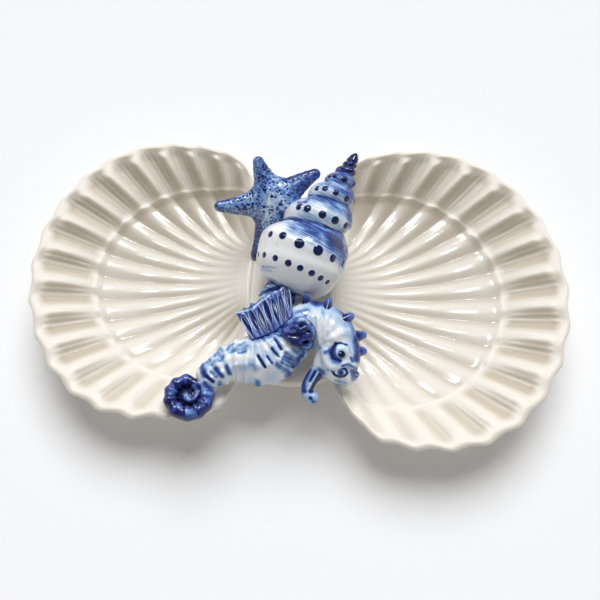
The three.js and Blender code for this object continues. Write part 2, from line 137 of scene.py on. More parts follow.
# Faces of columns that close on themselves, with the first and the last one capped
def loopFaces(rows, columns):
    firsts = list(range(0, rows * columns, columns))
    lasts = [k + columns - 1 for k in firsts]
    return gridFaces(rows, columns, closeRows=True) + [firsts, lasts[::-1]]


# Paint is a number for all points or one for each point, and "brush" a vector for each
def makePiece(name, points, faces, finish, nodes, paint):
    mesh = bpy.data.meshes.new(name)
    mesh.from_pydata(toFrame(points).reshape(-1, 3).tolist(), [], faces)
    mesh.polygons.foreach_set("use_smooth", np.ones(len(mesh.polygons), bool))
    for key, values in paint.items():
        values = np.asarray(values, np.float32)
        if values.ndim == 0:
            values = np.full(len(mesh.vertices), values)
        kind, field = ("FLOAT_VECTOR", "vector") if key == "brush" else ("FLOAT", "value")
        mesh.attributes.new(key, kind, "POINT").data.foreach_set(field, values.ravel())
    mesh.materials.append(finish)
    mesh.update()
    piece = bpy.data.objects.new(name, mesh)
    bpy.context.scene.collection.objects.link(piece)
    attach(piece, "root")
    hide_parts(*nodes)


# Shader helpers

class Wire:
    def __init__(self, tree, socket=None):
        self.tree = tree
        self.socket = socket

    # Makes a node, sets it up and gives the output asked for
    def node(self, kind, settings=None, inputs=None, output=0):
        made = self.tree.nodes.new(kind)
        for key, value in (settings or {}).items():
            if key == "stops":
                ramp = made.color_ramp.elements
                while len(ramp) < len(value):
                    ramp.new(1)
                for stop, (place, colour) in zip(ramp, value):
                    stop.position = place
                    stop.color = (*colour, 1)
            else:
                setattr(made, key, value)
        for key, value in (inputs or {}).items():
            if isinstance(value, Wire):
                self.tree.links.new(value.socket, made.inputs[key])
            else:
                made.inputs[key].default_value = value
        return Wire(self.tree, made.outputs[output])

    def math(self, operation, first, second=0.0):
        return self.node("ShaderNodeMath", {"operation": operation}, {0: first, 1: second})

    def __add__(self, other):
        return self.math("ADD", self, other)

    def __sub__(self, other):
        return self.math("SUBTRACT", self, other)

    def __rsub__(self, other):
        return self.math("SUBTRACT", other, self)

    def __mul__(self, other):
        return self.math("MULTIPLY", self, other)

    __radd__ = __add__
    __rmul__ = __mul__

    def atMost(self, other):
        return self.math("MINIMUM", self, other)

    def atLeast(self, other):
        return self.math("MAXIMUM", self, other)

    # 0 at low, 1 at high, with soft ends
    def step(self, low, high):
        ends = {"Value": self, "From Min": low, "From Max": high}
        return self.node("ShaderNodeMapRange", {"interpolation_type": "SMOOTHSTEP"}, ends)

    def tint(self, first, second):
        inputs = {"Factor": self, 6: first, 7: second}
        return self.node("ShaderNodeMix", {"data_type": "RGBA"}, inputs, 2)

    def attribute(self, name, output="Fac"):
        return self.node("ShaderNodeAttribute", {"attribute_name": name}, None, output)

    def noise(self, place, scale, detail=2.0, rough=0.5):
        inputs = {"Vector": place, "Scale": scale, "Detail": detail, "Roughness": rough}
        return self.node("ShaderNodeTexNoise", None, inputs)

    def stretch(self, factors):
        return self.node("ShaderNodeVectorMath", {"operation": "MULTIPLY"}, {0: self, 1: factors})


def newFinish(name):
    finish = bpy.data.materials.new(name)
    finish.use_nodes = True
    tree = finish.node_tree
    return finish, Wire(tree), tree.nodes["Principled BSDF"]


def feed(wire, shader, **sockets):
    for key, value in sockets.items():
        wire.tree.links.new(value.socket, shader.inputs[key.replace("_", " ")])


# Slight waves in a glaze
def addWaves(wire, shader, look, height):
    inputs = {"Strength": look["waveStrength"], "Distance": look["waveDepth"] / perMetre, "Height": height}
    feed(wire, shader, Normal=wire.node("ShaderNodeBump", None, inputs, "Normal"))


# Cream glaze: it darkens towards a pooled colour where glaze pools and where shade is painted on, "thin" is
# where little of it lies and "matt" where it shines less

creamLook = {
    "cream": (0.85, 0.805, 0.73, 1), "pooledAndShaded": (0.52, 0.44, 0.335, 1), "thin": (0.82, 0.765, 0.68, 1),
    "cloudy": (0.80, 0.77, 0.70, 1), "cloudyShare": 0.12, "speckShare": 0.25,
    "patchScale": 14, "rippleScale": 120, "waveScale": 45, "speckScale": 900,
    "roughness": 0.14, "rippleRoughness": 0.06, "mattRoughness": 0.22,
    "coat": 0.5, "mattCoat": 0.85, "coatRoughness": 0.05, "waveStrength": 0.1, "waveDepth": 3,
}


def makeCreamGlaze():
    look = creamLook
    finish, wire, shader = newFinish("creamGlaze")
    place = wire.node("ShaderNodeTexCoord", None, None, "Object")
    patches = wire.noise(place, look["patchScale"], 3)
    ripple = wire.noise(place, look["rippleScale"], 2)
    specks = wire.noise(place, look["speckScale"], 1).step(0.74, 0.8)
    # pooled glaze and painted shade: the cream darkens towards the pooled colour
    pooledAndShaded = (wire.attribute("crease") * (0.75 + 0.4 * patches)).atMost(1)
    glaze = pooledAndShaded.tint(look["cream"], look["pooledAndShaded"])
    thinned = (wire.attribute("thin") * (0.5 + 0.5 * ripple)).atMost(1)
    glaze = thinned.tint(glaze, look["thin"])
    glaze = (patches.step(0.35, 0.75) * look["cloudyShare"]).tint(glaze, look["cloudy"])
    glaze = (specks * look["speckShare"]).tint(glaze, look["pooledAndShaded"])
    matt = wire.attribute("matt")
    roughness = look["roughness"] + look["rippleRoughness"] * ripple + look["mattRoughness"] * matt
    coat = look["coat"] * (1 - look["mattCoat"] * matt)
    feed(wire, shader, Base_Color=glaze, Roughness=roughness, Coat_Weight=coat)
    addWaves(wire, shader, look, ripple * 0.5 + wire.noise(place, look["waveScale"], 2))
    shader.inputs["Coat Roughness"].default_value = look["coatRoughness"]
    return finish


creamGlaze = makeCreamGlaze()
print("finishes made")


# Dishes

dishes = {
    "jointOut": 25, "shoulderRun": 12.5, "shoulderDrop": 8.5, "cheekRun": 40, "ringCheek": 1.7,
    "flareEnd": 40, "flareSide": 29, "ringSetback": 26, "umboHalf": 32, "ribBow": 1.25,
    "rimHeight": 38, "ringHeight": 22, "wellHeight": 14, "wellLow": 0.55, "hingeRound": 1.0, "wallBow": 0.25,
    "cornerStep": 1, "cornerFrom": 0.86, "hollowTo": 0.72, "wall": 4.5, "lipNose": 1.5, "lipRound": 3.2,
    "cheekSteps": 120, "endSteps": 400, "columns": 460, "wellRows": 56, "wallRows": 46, "noseRows": 11,
    "underRows": 34, "channelDepth": 4.0, "lipDepth": 1.5, "ringDepth": 1.4, "grooveDepth": 1.4,
    "channelShape": 1.25, "grooveShape": 0.6, "rimBulge": 1.2, "frontCalm": 0.6,
    "striations": 6, "striaDepth": 0.3, "beadHeight": 0.9, "beadWidth": 2.1, "rimShape": 0.8,
    # along the outline, 0 in its middle and 1 at the joint
    "fluteEnds": (0.8, 0.97), "calmSpan": (0.3, 0.8), "bulgeEnd": 0.75, "ringFollows": 0.5,
    "frontShift": 1.6, "frontBulge": 2.4, "bulgeAt": (0.45, 0.25), "cornerAt": (0.89, 0.07),
    # from the umbo at 0 over the ring at 1 to the rim at 2
    "striaSpan": (1.06, 1.3, 1.84, 1.95), "channelSpan": (1.02, 1.2, 1.8, 1.97),
    "grooveSpan": (0.1, 0.4, 0.97, 1.02), "wallStart": (0.96, 1.04), "wellSpan": (0.02, 0.7),
    "mattEnd": (0.03, 0.16), "lipStart": (1.93, 2),
    # glaze
    "grooveShade": 0.7, "valleyShade": 0.55, "wellShade": 0.85, "shadeTurn": (-0.05, 0.5), "poolingAndShadeLost": 0.6,
    "lipThin": 0.5, "underThin": 0.2,
}


def bezier(a, b, c, d, count):
    t = np.linspace(0, 1, count)[:, None]
    a, b, c, d = (np.array(point, float) for point in (a, b, c, d))
    return a * (1 - t) ** 3 + 3 * b * t * (1 - t) ** 2 + 3 * c * t ** 2 * (1 - t) + d * t ** 3


def runAlong(spots):
    return np.concatenate([[0], np.cumsum(np.linalg.norm(np.diff(spots, axis=0), axis=1))])


# Equal steps along a line of points
def evenly(line, count):
    run = runAlong(line)
    at = np.linspace(0, run[-1], count)
    return np.stack([np.interp(at, run, line[:, k]) for k in range(line.shape[1])], -1)


# Fan outline from the front end of the joint round the far end to its back end
def fanOutline(jointHalf, shoulder, cheek, belly, half, reach):
    d = dishes
    front = bezier((d["jointOut"], -jointHalf), (shoulder[0], -shoulder[1]), (cheek, -half), (belly, -half),
                   d["cheekSteps"])
    swing = np.linspace(-math.pi / 2, math.pi / 2, d["endSteps"])[1:-1]
    far = np.stack([belly + (reach - belly) * np.cos(swing), half * np.sin(swing)], -1)
    back = front[::-1] * (1, -1)
    return evenly(np.concatenate([front, far, back]), d["columns"] + 1)


# Rim and ring of a dish in plan, and the place of their points from -1 to 1
def fanLines(fan):
    d = dishes
    inner = d["jointOut"]
    rim = fanOutline(
        fan["jointHalf"], (inner + d["shoulderRun"], fan["half"] - d["shoulderDrop"]),
        fan["belly"] - d["cheekRun"], fan["belly"], fan["half"], fan["reach"])
    ringHalf = fan["half"] - d["flareSide"]
    ringBelly = fan["belly"] - d["ringSetback"]
    ring = fanOutline(
        fan["jointHalf"] - d["shoulderRun"],
        (inner + d["shoulderRun"] / 2, ringHalf - d["shoulderDrop"] / 2),
        ringBelly - d["shoulderRun"] * d["ringCheek"], ringBelly, ringHalf, fan["reach"] - d["flareEnd"])
    # the front half is a little fuller than the back
    side = np.linspace(-1, 1, len(rim))
    front = side * fan["frontSide"]
    fuller = d["frontShift"] + d["frontBulge"] * hump(front, *d["bulgeAt"])
    fuller = fuller * (1 - smooth(d["bulgeEnd"], 1, np.abs(side)))
    fuller = (fuller + fan["corner"] * hump(front, *d["cornerAt"])) * fan["frontSide"]
    rim[:, 1] += fuller
    ring[:, 1] += d["ringFollows"] * fuller
    return side, rim, ring


# Level of the upper face with no flutes: stop 0 is the umbo, 1 the ring and 2 the rim
def dishLevel(stop, side):
    d = dishes
    top, hinge = bridgeSlab["top"], d["hingeRound"]
    edge = np.abs(side)
    hollow = 1 - smooth(d["hollowTo"], 1, edge)
    rim = mix(d["rimHeight"], top + d["cornerStep"], smooth(d["cornerFrom"], 1, edge))
    level = mix(top, rim, stop / 2)
    fall = np.maximum(0, (d["wellLow"] - stop) / d["wellLow"])
    climb = np.maximum(0, (np.minimum(stop, 1) - d["wellLow"]) / (1 - d["wellLow"]))
    whole = top - d["wellHeight"]
    drop = whole * (1 - fall ** 2)
    drop = (drop - hinge * (1 - np.exp(-drop / hinge))) * whole / (whole - hinge)
    bowl = top - drop + (d["ringHeight"] - d["wellHeight"]) * climb ** 2
    run = np.maximum(0, stop - 1)
    wall = (rim - d["ringHeight"]) * ((1 + d["wallBow"]) * run - d["wallBow"] * run ** 2)
    return mix(level, bowl + wall, hollow)


# Rows of points over the dish, round its lip and back underneath, with what is painted on them
def dishSurface(fan):
    d = dishes
    side, rim, ring = fanLines(fan)
    count = len(side)
    fade = 1 - smooth(*d["fluteEnds"], np.abs(side))
    calm = 1 - d["frontCalm"] * smooth(*d["calmSpan"], side * fan["frontSide"])
    shrink = 1 - math.exp(-fan["flutes"] / 2 / fan["ease"])
    flute = -np.sign(side) * fan["ease"] * np.log(1 - np.abs(side) * shrink)
    rib = (1 - np.cos(2 * math.pi * flute)) / 2
    umbo = np.stack([np.full(count, float(d["jointOut"])), d["umboHalf"] * side], -1)
    outward = rim - ring
    flare = np.linalg.norm(outward, axis=1)
    outward = outward / flare[:, None]
    edge = rim + outward * (d["rimBulge"] * (1 - 2 * rib ** d["rimShape"]) * fade)[:, None]
    edge = edge + outward * (d["lipNose"] - d["lipRound"])
    channel, groove = rib ** d["channelShape"], rib ** d["grooveShape"]
    # fine lines run down each channel between smooth ribs
    strength = 0.75 + 0.25 * np.sin(flute * 12.9 + 1.3 * np.sin(flute * 4.1))
    stria = -np.cos(2 * math.pi * d["striations"] * flute) * strength
    stria = stria * (1 - smooth(0.26, 0.42, np.abs(flute - np.round(flute))))

    def height(stop):
        up = np.clip(stop - 1, 0, 1)
        depth = mix(d["ringDepth"], d["channelDepth"], smooth(0, 0.6, up))
        depth = mix(depth, d["lipDepth"], smooth(0.74, 0.94, up))
        onWall, inWell = smooth(*d["wallStart"], stop), smooth(*d["wellSpan"], stop)
        wave = depth * (channel - 0.45) * onWall
        wave = wave + d["grooveDepth"] * (groove - 0.75) * inWell * (1 - onWall)
        lines = d["striaDepth"] * stria * between(stop, *d["striaSpan"])
        reach = (stop - 1) * np.where(stop < 1, np.linalg.norm(ring - umbo, axis=1), flare)
        bead = d["beadHeight"] * hump(reach, 0, d["beadWidth"]) * (0.65 + 0.35 * rib ** 0.35)
        return dishLevel(stop, side) + (wave * calm + lines * calm + bead) * fade

    def plan(stop):
        if stop >= 1:
            return mix(ring, edge, stop - 1)
        bowed = mix(umbo[:, 1], ring[:, 1], stop ** d["ribBow"])
        return np.column_stack([mix(umbo[:, 0], ring[:, 0], stop), bowed])

    rows, paints = [], []

    def addRow(spots, z, thin, crease=0, matt=1, rise=1):
        rows.append(np.column_stack([spots, z]))
        paints.append([np.broadcast_to(value, count) for value in (crease, thin, matt, rise)])

    wellStops = np.linspace(0, 1, d["wellRows"]) ** 0.85
    wallStops = 1 + np.linspace(0, 1, d["wallRows"] + 1)[1:] ** 1.05
    for stop in np.concatenate([wellStops, wallStops]):
        # the cream darkens in the wall's channels and the well's grooves: pooled glaze with painted shade
        deep = (1 - channel) ** 2 * between(stop, *d["channelSpan"])
        deep = deep + d["grooveShade"] * (1 - groove) ** 1.2 * between(stop, *d["grooveSpan"])
        matt = 1 if stop > 1 else 1 - smooth(*d["mattEnd"], stop)
        rise = mix(1, channel, smooth(1, 1.1, stop) * fade)
        thin = d["lipThin"] * smooth(*d["lipStart"], stop)
        addRow(plan(stop), height(stop), thin, deep * fade * calm, matt, rise)
    nose, top = d["wall"] / 2, height(2.0)
    for swing in np.linspace(math.pi / 2, -math.pi / 2, d["noseRows"] + 2)[1:-1]:
        spots = edge + outward * d["lipRound"] * math.cos(swing)
        thin = mix(d["lipThin"], 1, math.cos(swing))
        addRow(spots, top - nose + nose * math.sin(swing), thin)
    for stop in np.linspace(2, 0, d["underRows"]):
        addRow(plan(stop), height(stop) - d["wall"], d["underThin"])
    crease, thin, matt, rise = np.moveaxis(np.array(paints), 1, 0)
    return np.array(rows), {"crease": crease, "thin": thin, "matt": matt}, rise


def makeDish(fan):
    d = dishes
    rows, paint, rise = dishSurface(fan)
    placed = placeDish(fan, rows)
    # painted shade: the glaze colour darkens where the inside turns to the front, away from the light at the
    # back, less so in the channels
    slope = unit(np.cross(np.gradient(placed, axis=1), np.gradient(placed, axis=0)))
    toFront = -slope[..., 1] * np.sign(slope[..., 2])
    inside = np.arange(len(rows))[:, None] < d["wellRows"] + d["wallRows"]
    turned = smooth(*d["shadeTurn"], toFront) * inside
    shade = turned * mix(d["wellShade"], 1, paint["matt"]) * mix(d["valleyShade"], 1, rise)
    paint["crease"] = np.maximum(paint["crease"] * (1 - d["poolingAndShadeLost"] * turned), shade)
    name = fan["name"]
    faces = flipped(loopFaces(*rows.shape[:2]))
    makePiece(name + "Dish", placed, faces, creamGlaze, [name + "_dish"], paint)


for fan in (leftFan, rightFan):
    makeDish(fan)
    print(fan["name"], "dish made")


# Bridge and foot rings

# Where a dish meets the bridge, from the front to the back
def jointLine(fan, along):
    side = mix(1, -1, along) * fan["frontSide"] * fan["jointHalf"]
    return placeDish(fan, np.column_stack([np.full(len(along), dishes["jointOut"]), side, along * 0]))


def makeBridge():
    b = bridgeSlab
    along = np.linspace(0, 1, b["points"])
    left, right = jointLine(leftFan, along), jointLine(rightFan, along)
    away = np.abs(2 * along - 1) * b["crownHalf"] - b["crownFlat"]
    top = b["top"] + b["crownRise"] * np.clip(away / b["crownRun"], 0, 2)
    swing = np.linspace(math.pi / 2, -math.pi / 2, b["edgeRows"] + 2)[1:-1]
    rows = []
    for across in np.linspace(0, 1, b["stations"]):
        middle = math.sin(math.pi * across)
        full = middle ** 0.6
        crown = mix(left, right, across)
        crown[:, 1] += (2 * along - 1) ** 9 * (b["bulge"] * 4 * across * (1 - across))
        crown[:, 2] = top - b["backDrop"] * smooth(b["dropFrom"], 1, along) * middle
        half = mix(b["endThickness"], b["thickness"], full) / 2
        edge = mix(b["endRound"], b["edgeRound"], full)
        nose = [np.array([0, math.cos(s) * edge, (math.sin(s) - 1) * half]) for s in swing]
        back = np.array([crown[-1] + step for step in nose])
        front = np.array([crown[0] + step * (1, -1, 1) for step in nose[::-1]])
        under = crown[::-1] - (0, 0, 2 * half)
        rows.append(np.concatenate([crown, back, under, front]))
    faces = tubeFaces(len(rows), len(rows[0]))
    makePiece("centreBridge", rows, faces, creamGlaze, ["centre_bridge"], b["paint"])


# Ring under a well, with a wiped unglazed foot; its top runs up into the dish's wall
def makeFootRing(fan):
    f, d = footRings, dishes
    shell, _, _ = dishSurface(fan)
    inside = shell[: d["wellRows"] + 6: 3, ::4].reshape(-1, 3)
    turn = fullTurn(f["segments"])
    ways = np.column_stack([np.cos(turn), np.sin(turn)])
    middle = ways * f["radius"] + (f["out"], 0)
    nearest = ((inside[None, :, :2] - middle[:, None]) ** 2).sum(-1).argmin(1)
    seat = inside[nearest, 2] - d["wall"] + f["sunk"]
    # distance from the ring's middle, and level: 1 at the seat, 0 above the foot's round, -1 on the table
    half = f["width"] / 2
    foot = [(half - f["round"] * (1 - math.cos(s)), -math.sin(s)) for s in np.linspace(1.57, 0.3, 6)]
    outer = foot + [(half, 0), (half, 0.5), (half, 1)]
    profile = [(-out, level) for out, level in outer[::-1]] + outer
    rows = []
    for out, level in profile:
        plan = ways * (f["radius"] + out) + (f["out"], 0)
        z = np.where(level >= 0, mix(f["round"], seat, level), f["round"] * (1 + level))
        rows.append(np.column_stack([plan, z]))
    bare = np.repeat([float(level < f["bareBelow"]) for _, level in profile], f["segments"])
    faces = gridFaces(len(profile), f["segments"], closeColumns=True, closeRows=True)
    name, points = fan["name"], placeDish(fan, np.array(rows))
    paint = {"crease": 0, "thin": bare}
    makePiece(name + "FootRing", points, faces, creamGlaze, [name + "_foot_ring"], paint)


makeBridge()
makeFootRing(leftFan)
makeFootRing(rightFan)
print("bridge and foot rings made")


# Cobalt painting: "wash" is how much pigment lies on a spot, "ink" the distance in
# millimetres to the nearest dot, less than 0 inside it, and "brush" runs along the strokes

farOff = 9.0  # far enough to leave no mark
cobaltLook = {
    "stops": [
        (0.0, (0.90, 0.91, 0.91)), (0.2, (0.48, 0.64, 0.84)), (0.4, (0.125, 0.265, 0.575)),
        (0.6, (0.040, 0.078, 0.34)), (0.8, (0.011, 0.018, 0.15)), (1.0, (0.004, 0.005, 0.035)),
    ],
    "inkSoft": 0.35, "inkWobble": 0.9, "inkGrain": 0.12,
    "cloudScale": 110, "grainScale": 700, "speckScale": 800, "speckleScale": 460, "speckleSizes": 160,
    "hairStretch": (0.06, 1.5, 1.5),
    "roughness": 0.13, "cloudRoughness": 0.08, "coat": 0.3, "coatRoughness": 0.03,
    "waveStrength": 0.1, "waveDepth": 1.5,
}


def makeCobaltGlaze(name, streak, speckled=False):
    look = cobaltLook
    finish, wire, shader = newFinish(name)
    place = wire.node("ShaderNodeTexCoord", None, None, "Object")
    brush = wire.attribute("brush", "Vector")
    cloud = wire.noise(place, look["cloudScale"], 3)
    grain = wire.noise(place, look["grainScale"], 2)
    hairs = wire.noise(brush.stretch(look["hairStretch"]), 1.0, 5, 0.7)
    wash = wire.attribute("wash")
    # pigment breaks into streaks where it is neither thin nor thick
    broken = (hairs - 0.5) * 1.6 + (cloud - 0.5) * 0.7
    spread = 1 - (2 * wash - 1) * (2 * wash - 1)
    pigment = wash + broken * spread * streak
    ink = wire.attribute("ink") + (cloud - 0.5) * look["inkWobble"]
    mark = (0 - ink).step(-look["inkSoft"], look["inkSoft"]) * (1 - look["inkGrain"] * grain)
    pigment = pigment.atLeast(mark)
    if speckled:
        inputs = {"Vector": place, "Scale": look["speckleScale"], "Randomness": 0.9}
        cells = wire.node("ShaderNodeTexVoronoi", None, inputs, "Distance")
        size = wire.noise(place, look["speckleSizes"], 1) * wash.step(0.02, 0.24)
        dots = (size * 0.76 - cells).step(-0.12, 0.06)
        pigment = pigment.atLeast(dots * (0.66 + 0.5 * wash).atMost(0.97))
    specks = wire.noise(place, look["speckScale"], 1).step(0.73, 0.8)
    pigment = pigment.atLeast(specks * 0.4)
    pigment = (pigment + (grain - 0.5) * 0.05).atLeast(0).atMost(1)
    colour = wire.node("ShaderNodeValToRGB", {"stops": look["stops"]}, {"Fac": pigment})
    feed(wire, shader, Base_Color=colour, Roughness=look["roughness"] + look["cloudRoughness"] * cloud)
    addWaves(wire, shader, look, cloud * 0.7 + grain * 0.3)
    shader.inputs["Coat Weight"].default_value = look["coat"]
    shader.inputs["Coat Roughness"].default_value = look["coatRoughness"]
    return finish


dryBrushed = makeCobaltGlaze("dryBrushedGlaze", 1.3)
blueAndWhite = makeCobaltGlaze("blueAndWhiteGlaze", 0.45)
speckledBlue = makeCobaltGlaze("speckledBlueGlaze", 0.75, speckled=True)
print("cobalt finishes made")


# Round bodies: a skin is drawn over the zero surface of a distance

# Distance to a tapering limb along a line of (x, y, z, radius) points
def limb(line):
    line = np.asarray(line, float)

    def distance(points):
        best = np.full(points.shape[:-1], 1e9)
        for a, b in zip(line[:-1], line[1:]):
            axis = b[:3] - a[:3]
            t = np.clip((points - a[:3]) @ axis / (axis @ axis), 0, 1)
            gap = np.linalg.norm(points - a[:3] - t[..., None] * axis, axis=-1)
            best = np.minimum(best, gap - a[3] - t * (b[3] - a[3]))
        return best

    return distance


def melt(first, second, blend):
    def distance(points):
        a, b = first(points), second(points)
        share = np.clip(0.5 + 0.5 * (b - a) / blend, 0, 1)
        return mix(b, a, share) - blend * share * (1 - share)

    return distance


def slopeOf(distance, points, reach=0.2):
    steps = np.eye(3) * reach
    return np.stack([distance(points + step) - distance(points - step) for step in steps], -1) / (2 * reach)


# Points and faces of the zero surface of a distance, from a grid of cells
def skin(distance, low, high, pitch):
    low = np.asarray(low, float)
    axes = [np.arange(a, b + pitch, pitch) for a, b in zip(low, high)]
    values = distance(np.stack(np.meshgrid(*axes, indexing="ij"), -1))
    # the border counts as outside, so the surface always closes
    values = np.pad(values[1:-1, 1:-1, 1:-1], 1, constant_values=pitch)
    inside = values < 0
    offsets = np.array([(i, j, k) for i in (0, 1) for j in (0, 1) for k in (0, 1)])
    shape = np.array(values.shape) - 1
    # one point in each cell that the surface crosses
    ends = [tuple(slice(o, o + n) for o, n in zip(offset, shape)) for offset in offsets]
    filled = sum(inside[end].astype(int) for end in ends)
    cells = np.argwhere((filled > 0) & (filled < 8))
    corner = np.stack([values[tuple((cells + o).T)] for o in offsets], -1)
    total, hits = np.zeros((len(cells), 3)), np.zeros((len(cells), 1))
    for m in range(8):
        for n in range(m + 1, 8):
            if np.abs(offsets[m] - offsets[n]).sum() == 1:
                crossed = (corner[:, m] < 0) != (corner[:, n] < 0)
                t = corner[crossed, m] / (corner[crossed, m] - corner[crossed, n])
                total[crossed] += offsets[m] + t[:, None] * (offsets[n] - offsets[m])
                hits[crossed] += 1
    points = low + pitch * (cells + total / hits)
    # the points move onto the surface
    for _ in range(2):
        slope = slopeOf(distance, points)
        points = points - slope * (distance(points) / (slope ** 2).sum(-1).clip(0.2))[:, None]
    # one face for each grid edge that the surface crosses
    number = np.full(shape, -1)
    number[tuple(cells.T)] = np.arange(len(cells))
    quads = []
    for k in range(3):
        ahead = np.roll(inside, -1, axis=k)
        change = inside != ahead
        change[tuple(slice(-1, None) if n == k else slice(None) for n in range(3))] = False
        spots = np.argwhere(change)
        u, v = np.eye(3, dtype=int)[(k + 1) % 3], np.eye(3, dtype=int)[(k + 2) % 3]
        ring = np.stack([number[tuple((spots - step).T)] for step in (u + v, v, 0 * u, u)], -1)
        outward = inside[tuple(spots.T)]
        quads.append(np.where(outward[:, None], ring, ring[:, ::-1]))
    return points, np.concatenate(quads).tolist()


# Smooth line through (x, y, z, radius) points
def throughPoints(path, perSpan=12):
    path = np.asarray(path, float)
    ends = np.concatenate([[2 * path[0] - path[1]], path, [2 * path[-1] - path[-2]]])
    t = np.linspace(0, 1, perSpan, endpoint=False)[:, None]
    line = []
    for a, b, c, e in zip(ends[:-3], ends[1:-2], ends[2:-1], ends[3:]):
        curve = (2 * a - 5 * b + 4 * c - e) * t ** 2
        line.append(0.5 * (2 * b + (c - a) * t + curve + (3 * b - a - 3 * c + e) * t ** 3))
    return np.concatenate(line + [path[-1:]])


# Run along a line, and at each point its direction, side and upward
def lineFrame(line):
    run = runAlong(line[:, :3])
    ahead = unit(np.gradient(line[:, :3], run, axis=0))
    aside = unit(np.cross(ahead, (0, 0, 1)))
    return run, ahead, aside, np.cross(aside, ahead)


def onBridge(path):
    return np.asarray(path, float) + ((0, 0, bridgeSlab["top"]) + (0,) * (len(path[0]) - 3))


# Distance in plan of a rounded patch, less than 0 inside
def patch(u, v, halfU, halfV, corner):
    du, dv = np.abs(u) - halfU + corner, np.abs(v) - halfV + corner
    return np.hypot(np.maximum(du, 0), np.maximum(dv, 0)) + np.minimum(np.maximum(du, dv), 0) - corner


# Sight: where a point shows in the front view, 600 wide, so that a mark sits where it is seen

viewpoint = {
    "eye": (0, -263.0, 577.3), "target": (0, 0, 38), "lens": 54.79, "film": 36,
    "shift": (0.0178, -0.041), "width": 600, "sightStart": 380.0,
}


def sightFrame():
    v = viewpoint
    eye = np.array(v["eye"])
    ahead = unit(np.array(v["target"]) - eye)
    aside = np.array([1.0, 0, 0])
    middle = v["width"] * (np.array([0.5, 0.5]) + np.array(v["shift"]) * (-1, 1))
    scale = v["lens"] / v["film"] * v["width"]
    return eye, ahead, aside, np.cross(aside, ahead), middle, scale


def sight(points):
    eye, ahead, aside, upward, middle, scale = sightFrame()
    away = points - eye
    depth = away @ ahead
    across = np.stack([away @ aside, -(away @ upward)], -1)
    return middle + scale * across / depth[..., None]


# How much each point faces the eye, from 0 to 1
def seenBy(points, normals):
    return smooth(-0.3, -0.02, (unit(sightFrame()[0] - points) * normals).sum(-1))


# Point of a body's skin that shows at a spot of the front view
def onSkin(distance, spot):
    eye, ahead, aside, upward, middle, scale = sightFrame()
    x, y = np.array(spot, float) - middle
    way = unit(ahead * scale + aside * x - upward * y)
    run = viewpoint["sightStart"]
    for _ in range(60):
        run += 0.9 * distance((eye + way * run)[None])[0]
    return eye + way * run


def lineGap(spots, line):
    line = np.asarray(line, float)
    best = np.linalg.norm(spots - line[0], axis=-1)
    for a, b in zip(line[:-1], line[1:]):
        t = np.clip((spots - a) @ (b - a) / ((b - a) @ (b - a)), 0, 1)
        best = np.minimum(best, np.linalg.norm(spots - a - t[..., None] * (b - a), axis=-1))
    return best


# How much of a stroke lies on each spot
def strokeShare(spots, width, softness, line):
    return 1 - smooth(-softness, softness, lineGap(spots, line) - width / 2)


# Lays strokes over a wash, each with its pigment, width, softness and line in the front view
def brushOn(wash, spots, strokes, seen=1.0):
    for pigment, width, softness, line in strokes:
        softness = softness * (1.5 if 0.15 < pigment < 0.9 else 1)
        wash = mix(wash, pigment, strokeShare(spots, width, softness, line) * seen)
    return wash


# Whelk

